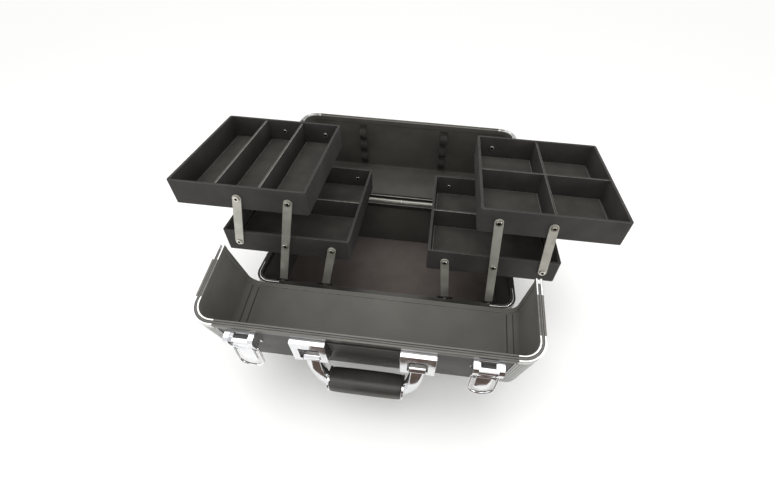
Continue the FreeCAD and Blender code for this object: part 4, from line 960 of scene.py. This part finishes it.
def brushStrap(side):
    x, level = strap[side], strap["panelZ"] - strap["thick"]
    path = [lidPoint("rear", x, strap["first"], level)]
    feet = [strap["first"] - strap["tab"] - strap["pitch"] * n for n in range(strap["loops"] + 1)]
    for start in feet[:-1]:
        for step in range(strap["steps"] + 1):
            share = step / strap["steps"]
            rise = strap["high"] * math.sin(math.pi * share) ** strap["fullness"]
            y = start - strap["pitch"] * (strap["foot"] + (1 - 2 * strap["foot"]) * share)
            path.append(lidPoint("rear", x, y, level - rise))
    path.append(lidPoint("rear", x, feet[-1] - strap["tab"] + strap["endGap"], level))
    section = roundSection(strap["thick"], strap["half"], strap["square"], strap["sides"])
    bm = bmesh.new()
    sweep(bm, path, section, xWay)
    name = side + "_brush_strap"
    mesh = meshFrom(bm, name, strap["smoothTo"])
    addPiece(name + "_elastic", mesh, "rear_lid", elasticFinish, [name])
    reach, rows = strap["half"] - strap["stitchIn"], []
    for foot in feet:
        rows.append([lidPoint("rear", x + way * reach, foot, level - strap["thick"]) for way in (-1, 1)])
    stitchPiece(name + "_stitches", rows, "rear_lid")


for side in ("left", "right"):
    brushStrap(side)
print("straps made")

# Floor and a dark card, both matt. The card lies on the floor in front and stands up behind the
# camera. It is seen only in reflections, and gives the chrome its dark bands. Sizes in metres.
boardRough = 0.9


def stageBoard(name, corners, faces, tone, gloss):
    mesh = bpy.data.meshes.new(name)
    mesh.from_pydata(corners, [], faces)
    finish = bpy.data.materials.new(name + "_matt")
    finish.use_nodes = True
    shader = finish.node_tree.nodes["Principled BSDF"]
    shader.inputs["Base Color"].default_value = linear(tone)
    shader.inputs["Roughness"].default_value = boardRough
    shader.inputs["Specular IOR Level"].default_value = gloss
    mesh.materials.append(finish)
    board = putInScene(name, mesh)
    return board


floor = {"size": 12.0, "tone": "#fdfdfb", "gloss": 0.0}
edge = floor["size"]
floorCorners = [(-edge, -edge, 0), (edge, -edge, 0), (edge, edge, 0), (-edge, edge, 0)]
stageBoard("floor", floorCorners, [(0, 1, 2, 3)], floor["tone"], floor["gloss"])

card = {
    "left": -0.1, "right": 1.6, "near": -0.272, "far": -1.5, "lift": 0.002, "top": 2.2,
    "tone": "#55463e", "gloss": 0.5,
}
cardCorners = [
    (card["left"], card["near"], card["lift"]), (card["right"], card["near"], card["lift"]),
    (card["right"], card["far"], card["lift"]), (card["left"], card["far"], card["lift"]),
    (card["right"], card["far"], card["top"]), (card["left"], card["far"], card["top"]),
]
darkCard = stageBoard("darkCard", cardCorners, [(0, 3, 2, 1), (3, 5, 4, 2)], card["tone"], card["gloss"])
darkCard.visible_camera = darkCard.visible_diffuse = darkCard.visible_shadow = False

# Light: an even white surround, a broad soft sun from above and three soft fills (watts and place)
light = {
    "world": 0.58, "sun": 1.3, "sunTurn": (-3, -9, 0), "sunSpread": 60,
    "fills": ((5.5, (1.1, -0.35, 0.45)), (4.0, (-1.1, -0.25, 0.5)), (1.5, (0.1, -0.9, 0.9))),
    "fillAim": (0.05, -0.05, 0.15), "fillSize": 0.6,
}
world = bpy.data.worlds.new("studio")
bpy.context.scene.world = world
world.use_nodes = True
skyTree = world.node_tree
sky = skyTree.nodes["Background"]
seen = addNode(skyTree, "ShaderNodeLightPath").outputs  # the camera, metal and glass see plain white
direct = addNode(skyTree, "ShaderNodeMath", {0: seen["Is Camera Ray"], 1: seen["Is Glossy Ray"]},
                 operation="MAXIMUM")
clear = addNode(skyTree, "ShaderNodeMath", {0: direct, 1: seen["Is Transmission Ray"]},
                operation="MAXIMUM")
level = addNode(skyTree, "ShaderNodeMapRange", {"Value": clear, "To Min": light["world"], "To Max": 1.0})
skyTree.links.new(level.outputs[0], sky.inputs["Strength"])
sky.inputs["Color"].default_value = (1, 1, 1, 1)

sunLamp = bpy.data.lights.new("softKey", "SUN")
sunLamp.energy = light["sun"]
sunLamp.angle = math.radians(light["sunSpread"])
putInScene("softKey", sunLamp).rotation_euler = [math.radians(a) for a in light["sunTurn"]]

for power, place in light["fills"]:
    fillLamp = bpy.data.lights.new("softFill", "AREA")
    fillLamp.energy = power
    fillLamp.size = light["fillSize"]
    fill = putInScene("softFill", fillLamp)
    fill.location = place
    fill.rotation_euler = (Vector(light["fillAim"]) - Vector(place)).to_track_quat("-Z", "Y").to_euler()
    fill.visible_camera = False

# Camera at the photograph's place: mm, degrees, and a lens for the 775 by 477 frame
view = {
    "place": (54.68, -405.58, 500.18), "turn": (45.957, -2.247, 6.182), "sensor": 36.0, "lens": 17.15,
    "shift": (-0.029, -0.0006), "clip": (0.01, 100.0),
}
cameraData = bpy.data.cameras.new("photoCamera")
cameraData.sensor_fit = "HORIZONTAL"
cameraData.sensor_width = view["sensor"]
cameraData.lens = view["lens"]
cameraData.shift_x, cameraData.shift_y = view["shift"]
cameraData.clip_start, cameraData.clip_end = view["clip"]
camera = putInScene("photoCamera", cameraData)
camera.location = Vector(view["place"]) * mm
camera.rotation_euler = [math.radians(a) for a in view["turn"]]
bpy.context.scene.camera = camera
bpy.context.scene.view_settings.view_transform = "Standard"
print("stage, light and camera set")

bpy.context.view_layer.update()
